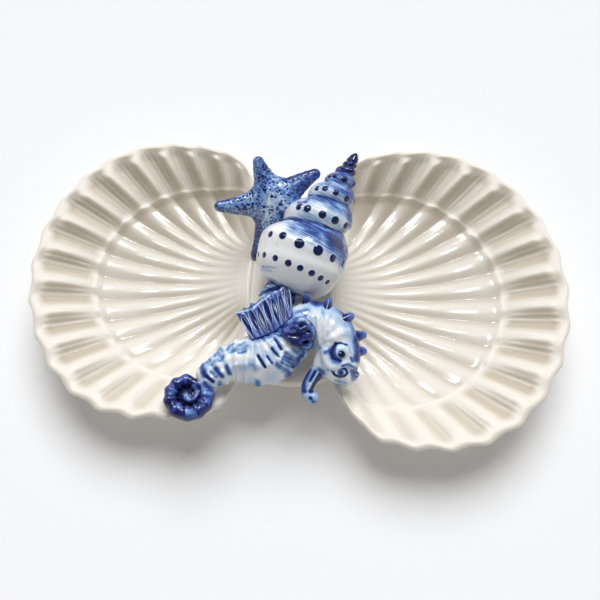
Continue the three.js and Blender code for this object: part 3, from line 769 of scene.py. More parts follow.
whelk = {
    "spot": (9.3, 7.8), "heading": 60.4, "lean": 17.8, "radius": 29.6, "spire": 73.5, "base": 27, "seat": 3.1,
    "canalLength": 12, "canalRadius": 12.5, "taper": 1.18, "growth": 1.51, "first": 13.5, "suture": 0.23,
    "rows": 330, "sides": 240, "apexTip": 0.6, "apexRound": 1.3, "dent": 0.28, "clearance": 0.2,
    # whorls that are set off by a suture, and the bands of wash after it in each
    "whorlSpan": (-2.6, -1.2, 4.0, 4.45), "bandSpan": (0.0, 0.06, 0.12, 0.4), "sutureWidth": 0.05,
    "bandWash": 0.5, "spireWash": 0.16, "sutureWash": 0.8, "apexEnd": (13, 24),
    # dots on the front: place in the front view, radius in millimetres
    "dots": [
        (270.4, 234.3, 2.0), (282.9, 235.7, 2.4), (299.3, 242.9, 3.0), (317.9, 250.4, 3.1),
        (332.6, 257.9, 2.4), (343.5, 262.9, 2.4), (258.5, 254.3, 1.5), (264.3, 255, 1.8),
        (275, 257.9, 1.9), (287.9, 263, 2.0), (300, 268, 1.9), (311.4, 273, 2.0), (320.7, 277.9, 1.9),
        (328, 282, 1.6), (298.8, 206.7, 2.2), (307.4, 208.6, 2.4), (322.4, 214.3, 2.3), (335.4, 220, 2.5),
        (346, 226, 2.3), (352, 228.8, 1.8), (317.2, 187.9, 1.8), (325.3, 188.3, 2.0), (336, 192.9, 1.9),
        (346.9, 198.6, 2.2), (355, 201.4, 1.8), (330, 175.7, 1.5), (335, 175.4, 1.8), (344.6, 179.7, 2.1),
        (354.7, 183.6, 1.9), (343, 167, 1.7), (353, 170, 1.9),
    ],
    # dots of each row on the hidden side: place on the spiral, dots in a turn, dot radius
    "dotRows": [
        (0.0, 7, 1.7), (1.06, 8, 1.9), (2.05, 10, 2.2), (3.05, 12, 2.4), (4.05, 14, 2.6), (4.53, 18, 1.9),
    ],
    "dotRise": 0.5, "dotSpread": 1.05,
    "strokes": [
        (0.56, 15, 6, [(316, 234), (334, 244), (346, 256)]),
        (0.68, 8, 4, [(316, 231), (337, 241), (346, 249)]),
        (0.5, 9, 5, [(294, 227), (307, 231), (322, 240)]),
        (0.7, 4, 2, [(295, 222), (305, 225), (318, 230)]),
        (0.76, 6, 3, [(340, 243), (348, 252), (349, 262)]), (0.5, 7, 4, [(347, 258), (345, 268)]),
        (0.42, 1.6, 1, [(263, 266.4), (277, 267.6)]), (0.3, 1.4, 1, [(262, 269), (271, 271)]),
        (0.42, 6, 4, [(300, 222), (318, 226)]),
        (0.72, 2.6, 1.4, [(296, 219.5), (308, 223), (322, 230), (334, 236)]),
        (0.55, 6, 3, [(314, 198), (330, 202), (344, 211), (350, 216)]),
        (0.62, 2.2, 1.2, [(313, 197.5), (326, 199.5), (340, 206), (351, 213)]),
        (0.38, 5, 3, [(338, 206), (350, 212)]), (0.66, 4, 2, [(328, 183.5), (342, 188), (355, 194)]),
        (0.35, 5, 3, [(330, 182), (345, 188)]), (0.3, 6, 4, [(326, 216), (338, 226), (346, 232)]),
        # the last stroke here and the two on the next line put darker blue down the right edges of the upper
        # whorls: the blue painting deepened with painted shade
        (0.25, 6, 4, [(303, 213), (317, 219)]), (0.66, 5, 3, [(348, 205), (352, 214), (350.5, 226)]),
        (0.66, 4, 2.4, [(350, 189), (354, 197), (353, 204)]), (0.74, 4, 2.4, [(352, 174), (355.5, 182)]),
        (0.62, 5, 3, [(336, 170), (345, 169), (352, 173)]),
        (0.66, 2.4, 1.4, [(309, 199), (304, 202.6), (299, 203)]),
    ],
}


def whelkOutline(depth):
    w = whelk
    spire = w["radius"] * (1 - np.clip(1 - depth / w["spire"], 0, 1) ** w["taper"])
    past = np.clip((depth - w["spire"]) / w["base"], 0, 1)
    body = w["canalRadius"] + (w["radius"] - w["canalRadius"]) * np.sqrt(1 - past ** 2)
    return np.where(depth < w["spire"], spire, body)


# Dry brush under each suture, heaviest on the right; navy apex and canal
def whelkWash(depth, turn, whorl, spots, seen):
    w = whelk
    past = (whorl + 0.5) % 1
    wash = (w["bandWash"] + w["spireWash"] * (1 - smooth(48, 66, depth))) * between(past, *w["bandSpan"])
    wash = wash * (0.35 + 0.65 * smooth(-1.2, 1.3, turn))
    wash = wash * (1 - smooth(3.3, 3.6, whorl) * (1 - seen * 0.5)) * (1 - smooth(3.85, 4.05, whorl))
    suture = hump(whorl - np.floor(whorl), 0.5, w["sutureWidth"]) * (whorl < w["whorlSpan"][2])
    tinge = 0.012 + 0.012 * np.sin(turn * 3 + depth / 6) + 0.1 * smooth(1.7, 2.5, np.abs(turn))
    tinge = tinge + 0.13 * (1 - smooth(36, 62, depth)) + 0.4 * (1 - smooth(18, 38, depth))
    wash = np.maximum(np.maximum(wash, w["sutureWash"] * suture), tinge)
    wash = brushOn(wash, spots, w["strokes"], seen)
    apex = 1 - smooth(*w["apexEnd"], depth)
    wash = np.maximum(wash, apex * (0.86 + 0.13 * np.sin(turn * 5 + depth * 1.3)))
    canalStart = w["spire"] + w["base"]
    canal = smooth(canalStart - 2, canalStart + 1, depth)
    return np.maximum(wash, canal * (0.6 + 0.25 * np.sin(turn * 9 + depth)))


def makeWhelk():
    w = whelk
    heading, lean = math.radians(w["heading"]), math.radians(w["lean"])
    axis = np.array([math.cos(lean) * math.cos(heading), math.cos(lean) * math.sin(heading), math.sin(lean)])
    front = unit(np.array([0, 0, 1]) - axis * axis[2])
    right = np.cross(axis, front)
    middle = np.array([*w["spot"], bridgeSlab["top"] + w["radius"] - w["seat"]])
    length = w["spire"] + w["base"] + w["canalLength"]
    depth = w["apexTip"] + (length - w["apexTip"]) * np.linspace(0, 1, w["rows"]) ** 1.1
    turn = np.linspace(-math.pi, math.pi, w["sides"], endpoint=False)
    depth, turn = np.meshgrid(depth, turn, indexing="ij")
    share = turn / (2 * math.pi)
    whorl = np.log(depth / w["first"]) / math.log(w["growth"]) + share
    fade = between(whorl, *w["whorlSpan"])
    bulge = 1 - w["suture"] * fade * (1 - np.abs(np.cos(math.pi * whorl)) ** 0.9)
    radius = whelkOutline(depth) * bulge
    radius = radius + w["apexRound"] * np.sqrt(np.clip(depth / 3, 0, 1)) * (1 - smooth(2, 12, depth))
    dents = np.sin(turn * 2.3 + depth / 5.1) * np.sin(depth / 3.7 + turn) * smooth(8, 30, depth)
    radius = radius + w["dent"] * dents
    around = np.cos(turn)[..., None] * front + np.sin(turn)[..., None] * right
    points = middle + (w["spire"] - depth)[..., None] * axis + radius[..., None] * around
    spots, seen = sight(points), seenBy(points, around)
    ink = np.full(depth.shape, farOff)
    for place, count, size in w["dotRows"]:
        up = depth - w["first"] * w["growth"] ** (place - share)
        across = (share * count - np.round(share * count)) * 2 * math.pi * radius / count
        ink = np.minimum(ink, np.hypot(up, across) - size + farOff * smooth(0.0, 0.05, seen))
    for x, y, size in w["dots"]:
        # only points that face the front count
        off = np.linalg.norm(spots - (x, y), axis=-1) + 60 * (seen < 0.98)
        dot = points.reshape(-1, 3)[off.argmin()]
        ink = np.minimum(ink, np.linalg.norm(points - dot, axis=-1) - w["dotSpread"] * size)
    points = points + (w["dotRise"] * smooth(0.5, -1.2, ink))[..., None] * around
    points[..., 2] = np.maximum(points[..., 2], bridgeSlab["top"] + w["clearance"])
    wash = whelkWash(depth, turn, whorl, spots, seen)
    brush = np.stack([share * 2 * math.pi * radius, depth, radius * 0], -1)
    paint = {"ink": ink, "wash": wash.clip(0, 0.97), "brush": brush}
    faces = tubeFaces(*depth.shape)
    makePiece("whelkShell", points, faces, dryBrushed, ["whelk_shell"], paint)


makeWhelk()
print("whelk made")


# Starfish

star = {
    "spot": (-9.8, 45, 27.5), "lean": 45, "core": 11, "root": 12.4, "tip": 3.7, "blend": 6,
    # direction and length of each arm
    "arms": [(34.4, 33.6), (111.3, 29.7), (185.5, 37.8), (251.4, 40.5), (322, 36)], "bend": 7,
    "back": 4, "flat": 0.76, "pitch": 0.7, "margin": 11, "backMargin": 2, "top": 22, "clearance": 0.1,
    "ridge": 0.8, "ridgeWidth": 2.2, "grain": 0.12, "armGap": 36,
    "wash": 0.36, "armWash": (0.56, 0.43, 0.4, 0.6, 0.7), "paintedSideShade": 0.3, "middlePale": 0.1,
    "strokes": [
        (0.5, 7, 4, [(244, 200), (256, 203)]), (0.2, 6, 4, [(272, 200), (272, 212), (267, 222)]),
        # thin pale lines over the middle and the arms, down to the line before the last: painted highlights
        (0.1, 1.2, 0.9, [(270.5, 193.6), (275, 192.8), (279.5, 193.6)]),
        (0.05, 1.3, 0.9, [(269.8, 195), (268.9, 206), (266.8, 214), (264.6, 221)]),
        (0.1, 1.2, 0.9, [(280.4, 195), (284, 202.5), (287.5, 206.5)]),
        (0.14, 1.1, 0.9, [(289, 207.6), (293, 210.4)]),
        (0.1, 1.1, 0.9, [(264.6, 221), (262.2, 225), (263.4, 228), (265.4, 225)]),
        (0.15, 1.1, 0.9, [(274, 203), (277.5, 199.8), (280.5, 200.6)]),
        (0.14, 1.0, 0.9, [(284, 189.5), (290, 186)]), (0.14, 1.0, 0.9, [(293, 184.4), (303, 178.8)]),
        (0.22, 5, 4, [(240, 198), (256, 197)]), (0.7, 5, 4, [(283, 214), (289, 219)]),
    ],
}


# Arms of the star in its own plane, as lines of (x, y, z, radius) points
def starArms():
    s = star
    lines = []
    for turn, length in s["arms"]:
        line = []
        for t in np.linspace(0, 1, 7):
            way = math.radians(turn + s["bend"] * t * (1 - t))
            reach = (length - s["tip"] * 0.4) * t
            radius = mix(s["root"], s["tip"], t ** 0.9)
            line.append((reach * math.cos(way), reach * math.sin(way), 1 - 0.8 * t, radius))
        lines.append(np.array(line))
    return lines


def makeStarfish():
    s = star
    lines = starArms()
    flat = limb([(0, 0, 0.5, s["core"]), (0, 0.1, 0.5, s["core"])])
    for line in lines:
        flat = melt(flat, limb(line), s["blend"])

    def shape(points):
        return np.maximum(flat(points / (1, 1, s["flat"])), -s["back"] - points[..., 2])

    every = np.concatenate(lines)[:, :2]
    low, high = every.min(0) - s["margin"], every.max(0) + s["margin"]
    points, faces = skin(shape, (*low, -s["back"] - s["backMargin"]), (*high, s["top"]), s["pitch"])
    turn = np.degrees(np.arctan2(points[:, 1], points[:, 0])) % 360
    reach = np.hypot(points[:, 0], points[:, 1])
    offset = np.full(len(points), 99.0)
    wash = np.full(len(points), s["wash"])
    for (way, length), depth in zip(s["arms"], s["armWash"]):
        gap = np.abs((turn - way + 180) % 360 - 180)
        here = gap < s["armGap"]
        offset = np.where(here, reach * np.sin(np.radians(gap)), offset)
        wash = np.where(here, mix(s["wash"], depth, smooth(4, 0.7 * length, reach)), wash)
    upper = smooth(-1, 3, points[:, 2])
    points[:, 2] += s["ridge"] * hump(offset, 0, s["ridgeWidth"]) * upper * smooth(4, 10, reach)
    points[:, 2] += s["grain"] * np.sin(points[:, 0] * 2.1) * np.sin(points[:, 1] * 2.3) * upper
    # painted shade: the sides and the back of the arms are darker
    wash = wash + s["paintedSideShade"] * (1 - smooth(-1.5, 4.5, points[:, 2]))
    wash = wash - s["middlePale"] * (1 - smooth(4, 15, reach))
    lean = math.radians(s["lean"])
    across, upward = np.array([1.0, 0, 0]), np.array([0, math.cos(lean), math.sin(lean)])
    facing = np.cross(across, upward)
    placed = points[:, :1] * across + points[:, 1:2] * upward + points[:, 2:] * facing
    placed = onBridge([s["spot"]])[0] + placed
    wash = brushOn(wash, sight(placed), s["strokes"], upper)
    placed[:, 2] = np.maximum(placed[:, 2], bridgeSlab["top"] + s["clearance"])
    paint = {"ink": farOff, "wash": wash.clip(0.05, 0.95), "brush": points * (7, 0.4, 0.4)}
    makePiece("starfishFigure", placed, faces, speckledBlue, ["starfish"], paint)


makeStarfish()
print("starfish made")


# Seahorse; paths are (x, y, rise above the bridge, radius)

# marks of the tail's root, which run over from the trunk
rootStrokes = [
    (0.72, 4.6, 1.6, [(215.7, 368.6), (222, 375.7)]), (0.62, 2.2, 1.2, [(211, 372), (216.4, 377)]),
    (0.97, 3.4, 1.2, [(206.4, 376.4), (212.9, 381.4)]), (0.82, 4.4, 1.6, [(205, 383.6), (210.7, 390)]),
    (0.55, 5.2, 2, [(219.3, 384.3), (220, 385.5)]), (0.55, 4.4, 2, [(215.5, 391), (216.5, 393)]),
    (0.32, 9, 3, [(206, 364), (210, 363)]), (0.78, 5, 1.8, [(201.4, 366.4), (204.3, 375)]),
]
seahorse = {
    "bodyPath": [
        (-49, -72, 15, 8.5), (-36.2, -63.9, 15.5, 11.6), (-26.5, -62, 15.5, 14), (-13.8, -61.3, 15, 16.2),
        (-2.5, -53.3, 17.5, 14.4), (5.4, -46, 21, 12.8), (13, -40.6, 23.5, 12.9), (24, -45.6, 23.5, 13.2),
        (28.8, -54.9, 20.5, 13.0), (29.4, -61, 18.6, 13.2), (30.2, -66, 16.4, 10),
    ],
    "muzzle": [(27, -66, 17.5, 9.5), (20.5, -66.8, 17, 5.4)], "muzzleBlend": 6,
    "margin": 19, "pitch": 0.62, "clearance": 0.2,
    "ringPitch": 6.3, "ringRise": 0.5, "wrinklePitch": 4.2, "wrinkleRise": 0.1, "skinRise": 0.42,
    # run along the body of each stretch
    "trunkSpan": (-6, 3, 66, 76), "neckSpan": (70, 78, 92, 100), "maneSpan": (66, 76, 122, 130),
    # angle and width of each ridge along the trunk, and of the mane
    "ridges": [(58, 7), (106, 7), (8, 8)], "ridgeRise": 0.95, "mane": (160, 20), "maneRise": 1.5,
    "wash": 0.03, "maneWash": 0.8,
    # folds laid on the head: radius, blend and line in the front view
    "folds": [
        (2.0, 2.4, [(334, 338), (341, 333.5), (348.5, 332.5), (353, 339)]),
        (1.4, 2, [(337, 366), (344, 363.8), (352, 365.5)]),
        (1.8, 3, [(325, 352), (326, 362), (331, 367)]), (1.2, 2.4, [(318, 318), (319, 332), (321, 344)]),
        (1.0, 2.4, [(326, 318), (326.5, 330), (325, 338)]), (3.2, 4, [(346, 377), (353.5, 377.5)]),
    ],
    # rows of cells on the hidden side: angle, run from and to, half sizes, depth, wash
    "cellRows": [
        {"around": 82, "span": (8, 66), "half": (1.2, 4.0), "depth": 0.8, "wash": 0.95},
        {"around": 33, "span": (20, 68), "half": (2.4, 3.4), "depth": 0.5, "wash": 0.6},
        {"around": 138, "span": (4, 60), "half": (2.5, 3.2), "depth": 0.5, "wash": 0.4},
        {"around": 190, "span": (8, 60), "half": (2.0, 3.0), "depth": 0.5, "wash": 0.5},
        {"around": -20, "span": (10, 60), "half": (1.6, 2.0), "depth": 0.2, "wash": 0.5},
    ],
    # cuts in the skin: depth, width, softness and line in the front view
    "cuts": [
        (1.1, 3, 1.4, [(257.9, 355.7), (265, 367.1)]), (0.9, 2.6, 1.4, [(264.5, 351.5), (272, 363)]),
        (0.9, 2.8, 1.4, [(271.4, 347.9), (278.6, 356.4)]),
        (0.9, 2.6, 1.4, [(275, 339.3), (281.4, 349.3)]), (0.6, 4, 1.6, [(286.4, 353.6), (295, 359.3)]),
        (0.6, 4, 1.6, [(282.9, 358.8), (293.6, 364.5)]), (0.6, 4.6, 1.6, [(277, 365), (288.6, 372)]),
        (0.5, 4, 2, [(215.7, 368.6), (222, 375.7)]), (0.5, 3, 1.5, [(211, 372), (216.4, 377)]),
        (0.6, 3, 1.5, [(206.4, 376.4), (212.9, 381.4)]), (0.5, 7, 3, [(219.3, 354), (219.3, 356)]),
        (0.5, 6, 3, [(231, 348.6), (232, 348.6)]), (0.5, 5, 3, [(239, 349), (245, 347)]),
        (0.6, 5, 3, [(252, 364), (254, 367)]), (0.7, 3, 2, [(333, 358), (330.6, 351.3), (335.6, 343.8)]),
        (0.5, 3, 2, [(322, 345), (316, 349)]),
    ],
    "strokes": [
        # pale cells and navy slits of the side
        (0.26, 6, 2, [(266, 354), (271, 361)]), (0.24, 6, 2, [(272.5, 347), (276.5, 353)]),
        (0.24, 5, 2, [(277, 340), (281, 346)]), (0.16, 8, 4, [(250, 345), (257, 352)]),
        (0.98, 2.6, 1.0, [(257.9, 355.7), (265, 367.1)]), (0.95, 2.0, 1.0, [(267, 356), (272.2, 363.2)]),
        (0.92, 2.3, 1.0, [(271.8, 348.5), (278.6, 356.4)]),
        (0.92, 2.1, 1.0, [(275.5, 340), (281.4, 349.3)]), (0.85, 2, 1.2, [(283.6, 332), (287, 338)]),
        (0.55, 1.2, 0.8, [(272, 341), (275, 338.5), (279, 342)]),
        # belly
        (0.42, 4.6, 1.8, [(293.6, 349.3), (300.7, 355)]),
        (0.46, 4.6, 1.6, [(286.4, 353.6), (295, 359.3)]),
        (0.5, 4.6, 1.6, [(282.9, 358.8), (293.6, 364.5)]), (0.5, 5.4, 1.8, [(277, 365), (288.6, 372)]),
        (0.85, 1.1, 0.8, [(284, 356), (294.5, 361.6)]), (0.8, 1.2, 0.8, [(280.5, 361.5), (291, 367.5)]),
        (0.78, 3, 1.6, [(297.9, 359), (294, 367)]), (0.66, 2.6, 1.4, [(288.6, 373), (286, 376)]),
        (0.72, 2.4, 1.4, [(303, 352), (299, 359)]), (0.4, 7, 3.4, [(251.5, 364), (254, 367)]),
        (0.6, 5, 2, [(257.5, 381.5), (258.5, 384)]), (0.2, 7, 4, [(240, 366), (243, 368)]),
        (0.2, 6, 4, [(246, 381), (250, 383)]), (0.18, 7, 4, [(268, 378), (274, 375)]),
        (0.74, 4.4, 1.6, [(227, 367), (229.3, 372.9)]), *rootStrokes,
        # ovals along the back
        (0.26, 9, 2.4, [(219, 352), (219.6, 358)]),
        (0.56, 1.6, 1.2, [(214.6, 356), (216, 350), (221, 348.6), (224, 353)]),
        (0.6, 1.7, 1.2, [(216, 361), (221, 361), (224, 357)]), (0.5, 1.6, 1.4, [(218, 354), (221, 356)]),
        (0.26, 8, 2.4, [(230, 348.6), (233, 348.6)]),
        (0.58, 1.5, 1.2, [(227, 350), (229, 345), (234, 344.5)]),
        (0.55, 1.6, 1.2, [(229, 352.5), (236, 351)]), (0.26, 8, 2.4, [(239, 349), (245, 347)]),
        (0.56, 1.6, 1.2, [(238, 353), (246, 351.5)]), (0.5, 1.5, 1.2, [(239, 345), (245, 342.5)]),
        (0.5, 1.6, 1.2, [(205.5, 361), (209, 359), (212, 365)]),
        # blue round the fins and over the shoulder
        (0.5, 8, 4, [(264, 334), (279, 331), (292, 322)]), (0.62, 4, 2.4, [(268, 333.5), (282, 328)]),
        (0.45, 6, 4, [(256, 339), (266, 336)]), (0.82, 11, 4, [(288, 333), (300, 331), (305, 339)]),
        (0.6, 8, 4, [(300, 345), (309, 346)]), (0.75, 1.4, 1, [(275, 335), (286.4, 336.4)]),
        (0.55, 3, 2, [(290, 315), (301, 311.5), (309, 310)]), (0.35, 6, 4, [(296, 317), (307, 312)]),
        (0.6, 1.5, 1, [(297, 319), (306, 315)]),
        # neck
        (0.3, 2.4, 1.4, [(311.5, 317), (312, 324)]), (0.34, 1.2, 1, [(315.4, 316), (316, 326)]),
        (0.3, 3.4, 1.6, [(322.6, 311.5), (323.6, 317)]), (0.3, 3, 1.6, [(330.6, 311), (331.4, 316.5)]),
        (0.13, 2.4, 2, [(320.6, 318), (323, 340)]), (0.12, 2.4, 2, [(328, 322), (327, 337)]),
        (0.2, 5, 4, [(316, 345), (321, 349)]), (0.14, 4, 3, [(337, 318), (334, 328)]),
        (0.16, 3, 2, [(345, 326), (350, 334)]),
        (0.32, 8, 5, [(309, 303), (322, 307), (337, 312), (350, 327), (354, 345)]),
        (0.86, 4.2, 1.8, [(309, 299), (316, 303.5), (322, 303.5), (327, 301), (334, 304), (342, 312.5),
                          (348, 319), (353, 326), (356, 335), (356.5, 349), (355, 360)]),
        # face
        (0.45, 6, 4, [(330, 351), (334, 358)]), (0.94, 1.9, 1.0, [(336, 343.5), (341, 343)]),
        (0.9, 1.7, 1.0, [(342.5, 343.8), (346.9, 345)]),
        (0.92, 3.4, 1.6, [(335.6, 344.5), (331, 351.3), (333, 358.2), (340, 361)]),
        (0.6, 2.4, 1.8, [(331, 350), (325, 352)]), (0.3, 1.6, 1.2, [(348.7, 347.5), (351, 355)]),
        (0.85, 1.5, 1, [(350.8, 357.5), (352, 362)]),
        (0.78, 2, 1.2, [(342.5, 366), (348.7, 364), (354, 367.5)]),
        (0.4, 4, 2.6, [(348, 368), (353, 371)]), (0.65, 1.7, 1, [(331.2, 370.6), (331.4, 371.2)]),
        (0.72, 4.6, 2, [(319.6, 370), (321.5, 372)]), (0.5, 1.8, 1, [(327.6, 369.4), (328.2, 370.4)]),
        (0.5, 2.2, 1.4, [(336, 380.6), (345, 382.5)]), (0.58, 4, 2, [(323.5, 371.5), (320, 377.5)]),
        (0.8, 4.4, 1.6, [(353, 372), (353.6, 380)]), (0.45, 3, 2, [(334, 362), (338, 363.5)]),
        (0.16, 4, 3, [(322, 360), (326, 366)]),
    ],
    # reach and depth of the blue at the foot of each spine
    "spinePool": (5.2, 0.8),
}


# Nearest place on a line: run along it, angle round it in degrees and radius there
def roundLine(points, line):
    run, ahead, aside, upward = lineFrame(line)
    gaps = (points ** 2).sum(1)[:, None] + (line[:, :3] ** 2).sum(1) - 2 * points @ line[:, :3].T
    nearest = (np.sqrt(gaps.clip(0)) - line[:, 3]).argmin(1)
    away = points - line[nearest, :3]
    past = (away * ahead[nearest]).sum(1)
    around = np.degrees(np.arctan2((away * upward[nearest]).sum(1), (away * aside[nearest]).sum(1)))
    return run[nearest] + past, around % 360, line[nearest, 3]


def bodyShape():
    s = seahorse
    trunk = limb(throughPoints(onBridge(s["bodyPath"]))[::4])
    bare = melt(trunk, limb(onBridge(s["muzzle"])), s["muzzleBlend"])
    shape = bare
    for radius, blend, spots in s["folds"]:
        fold = [(*onSkin(bare, spot) - (0, 0, 0.35 * radius), radius) for spot in spots]
        shape = melt(shape, limb(fold), blend)
    return shape


headAndTrunk = bodyShape()


def makeBody():
    s = seahorse
    line = throughPoints(onBridge(s["bodyPath"]))
    low, high = line[:, :3].min(0) - s["margin"], line[:, :3].max(0) + s["margin"]
    points, faces = skin(headAndTrunk, low, high, s["pitch"])
    normals = unit(slopeOf(headAndTrunk, points))
    spots, seen = sight(points), seenBy(points, normals)
    run, around, radius = roundLine(points, line)
    around = np.where(around > 270, around - 360, around)
    trunk, neck = between(run, *s["trunkSpan"]), between(run, *s["neckSpan"])
    rings = np.cos(2 * math.pi * run / s["ringPitch"])
    rise = s["ringRise"] * rings * trunk * (1 - 0.7 * (1 - smooth(-40, 30, around)))
    rise += s["wrinkleRise"] * np.cos(2 * math.pi * run / s["wrinklePitch"] + around / 40) * neck
    ridges = sum(hump(around, *ridge) for ridge in s["ridges"])
    rise += s["ridgeRise"] * ridges * trunk * (1 + 0.5 * rings)
    rise += s["skinRise"] * np.sin(run / 2.4 + around / 19) * np.sin(run / 3.9 - around / 13) * trunk
    mane = hump(around, *s["mane"]) * between(run, *s["maneSpan"])
    rise += s["maneRise"] * mane
    wash = s["wash"] + 0.02 * np.sin(run / 3.1 + around / 25) * trunk
    u = ((run / s["ringPitch"]) % 1 - 0.5) * s["ringPitch"]
    for row in s["cellRows"]:
        v = np.radians((around - row["around"] + 180) % 360 - 180) * radius
        cell = patch(u, v, *row["half"], min(row["half"]) * 0.8)
        start, stop = row["span"]
        cell = np.where((run > start) & (run < stop) & (seen < 0.5), cell, farOff)
        rise -= row["depth"] * smooth(0.7, -0.8, cell)
        wash = np.maximum(wash, row["wash"] * smooth(0.6, -0.7, cell))
    wash = np.maximum(wash, s["maneWash"] * mane ** 0.5 * (1 - seen))
    reach, depth = s["spinePool"]
    for base, _ in crestSpines["ends"]:
        gap = np.linalg.norm(points - onBridge([base])[0], axis=1)
        wash = np.maximum(wash, depth * (1 - smooth(0.45 * reach, reach, gap)))
    for depth, *cut in s["cuts"]:
        rise -= depth * seen * strokeShare(spots, *cut)
    wash = brushOn(wash, spots, s["strokes"], seen)
    points = points + normals * rise[:, None]
    points[:, 2] = np.maximum(points[:, 2], bridgeSlab["top"] + s["clearance"])
    brush = np.column_stack([np.radians(around) * radius * 4, run * 0.2, radius * 0])
    paint = {"ink": farOff, "wash": wash.clip(0, 0.98), "brush": brush}
    nodes = ["seahorse_trunk", "seahorse_neck", "seahorse_head"]
    makePiece("seahorseBody", points, faces, blueAndWhite, nodes, paint)


# Small blue pieces of the seahorse
def makeBlue(name, node, points, faces, wash, brush):
    paint = {"ink": farOff, "wash": wash.clip(0, 1), "brush": brush}
    makePiece(name, points, faces, blueAndWhite, [node], paint)


# Rings of points along a line, with a dome at each end; gives run and angle of each point too
def tubeRings(line, sides, domes=6):
    _, ahead, aside, upward = lineFrame(line)
    swings = np.linspace(0, math.pi / 2, domes, endpoint=False)[1:]

    # centre, place on the line and radius of a ring
    def domeRing(k, way, swing):
        return line[k, :3] + way * ahead[k] * line[k, 3] * math.sin(swing), k, line[k, 3] * math.cos(swing)

    stations = [domeRing(0, -1, swing) for swing in swings[::-1]]
    stations += [(line[k, :3], k, line[k, 3]) for k in range(len(line))]
    stations += [domeRing(-1, 1, swing) for swing in swings]
    turn = fullTurn(sides)
    centres = np.array([centre for centre, _, _ in stations])
    ways = [np.outer(np.cos(turn), aside[k]) + np.outer(np.sin(turn), upward[k]) for _, k, _ in stations]
    radii = np.array([radius for _, _, radius in stations])
    return centres[:, None], np.array(ways), radii[:, None], runAlong(centres), np.degrees(turn)


def makeTube(name, node, points, wash, run, angle, floor=None):
    along = np.broadcast_to(run[:, None], wash.shape)
    brush = np.stack([along, np.broadcast_to(angle / 12, wash.shape), wash * 0], -1).reshape(-1, 3)
    points, faces, wash = points.reshape(-1, 3), tubeFaces(*wash.shape), wash.ravel()
    if floor is not None:
        faces = faces + [[len(points) + k for k in face] for face in tubeFaces(*floor.shape[:2])]
        floor = floor.reshape(-1, 3)
        points, brush = np.concatenate([points, floor]), np.concatenate([brush, floor])
        wash = np.concatenate([wash, np.ones(len(floor))])
    makeBlue(name, node, points, faces, wash, brush)


tail = {
    "spot": (-61.6, -85.2, 14.5), "turns": 1.5, "start": 25, "root": 8, "rootFlare": 0.6, "sides": 44,
    # after so many turns: distance from the middle of the curl, radius of the tail
    "curl": [
        (0, 11.3, 4.9), (0.3, 10.8, 4.7), (0.6, 10.9, 4.2), (0.8, 10.2, 3.8), (0.95, 7.8, 3.2),
        (1.07, 5.3, 2.7), (1.3, 3.0, 2.4), (1.5, 1.7, 2.7),
    ],
    "steps": 34, "tipLift": 1.0, "knobPitch": 6.4, "knobRise": 0.42, "knobSpan": (0.12, 0.3, 0.8, 0.92),
    "whiteRun": (14, 34), "white": 0.06, "blue": 0.9, "knobPaintedLight": 0.22,
    # rings of the floor between the turns: radius, and rise above the middle of the curl
    "floorRings": [(10, -1.5), (10, 0), (0.5, 0.4)], "floorSides": 40,
    "strokes": [
        # pale blue on the knobs of the outer turn: painted light on their lit tops
        (0.4, 7, 3, [(187, 412), (194, 413.5)]), (0.5, 5.5, 2.5, [(203, 406), (208, 400)]),
        (0.5, 4.5, 2, [(178, 404), (181.5, 408)]), (0.44, 5, 2.4, [(170, 392.5), (175, 391.5)]),
        (0.55, 3.6, 2, [(169.5, 388), (172, 384)]), (0.5, 4.4, 2.4, [(179.5, 379.5), (187, 377)]),
        (0.48, 4.4, 2, [(194, 387), (197, 393), (194, 398.5)]),
        (1, 2.8, 1.4, [(199.4, 386), (200.4, 395), (194.4, 402.2), (187, 403.6), (179, 398), (179.6, 391)]),
        (0.95, 2, 1, [(203, 400.5), (207, 405)]), (0.95, 2, 1.2, [(184, 408), (184, 414)]),
        (0.95, 2, 1.2, [(172, 397), (168, 400)]), (0.95, 2.4, 1.4, [(174.5, 386), (178, 384.5)]),
        (0.95, 2.4, 1.4, [(188, 382), (190, 378)]), (0.95, 2, 1, [(197, 409), (199, 414)]),
        (0.26, 5.4, 1.8, [(186.3, 396.4), (187.2, 397)]),
        (0.2, 1.5, 1, [(182.4, 392.6), (187.2, 388.3), (190.5, 389)]),
        (0.7, 1.5, 1, [(186.2, 397.4), (186.4, 397.6)]),
    ],
}


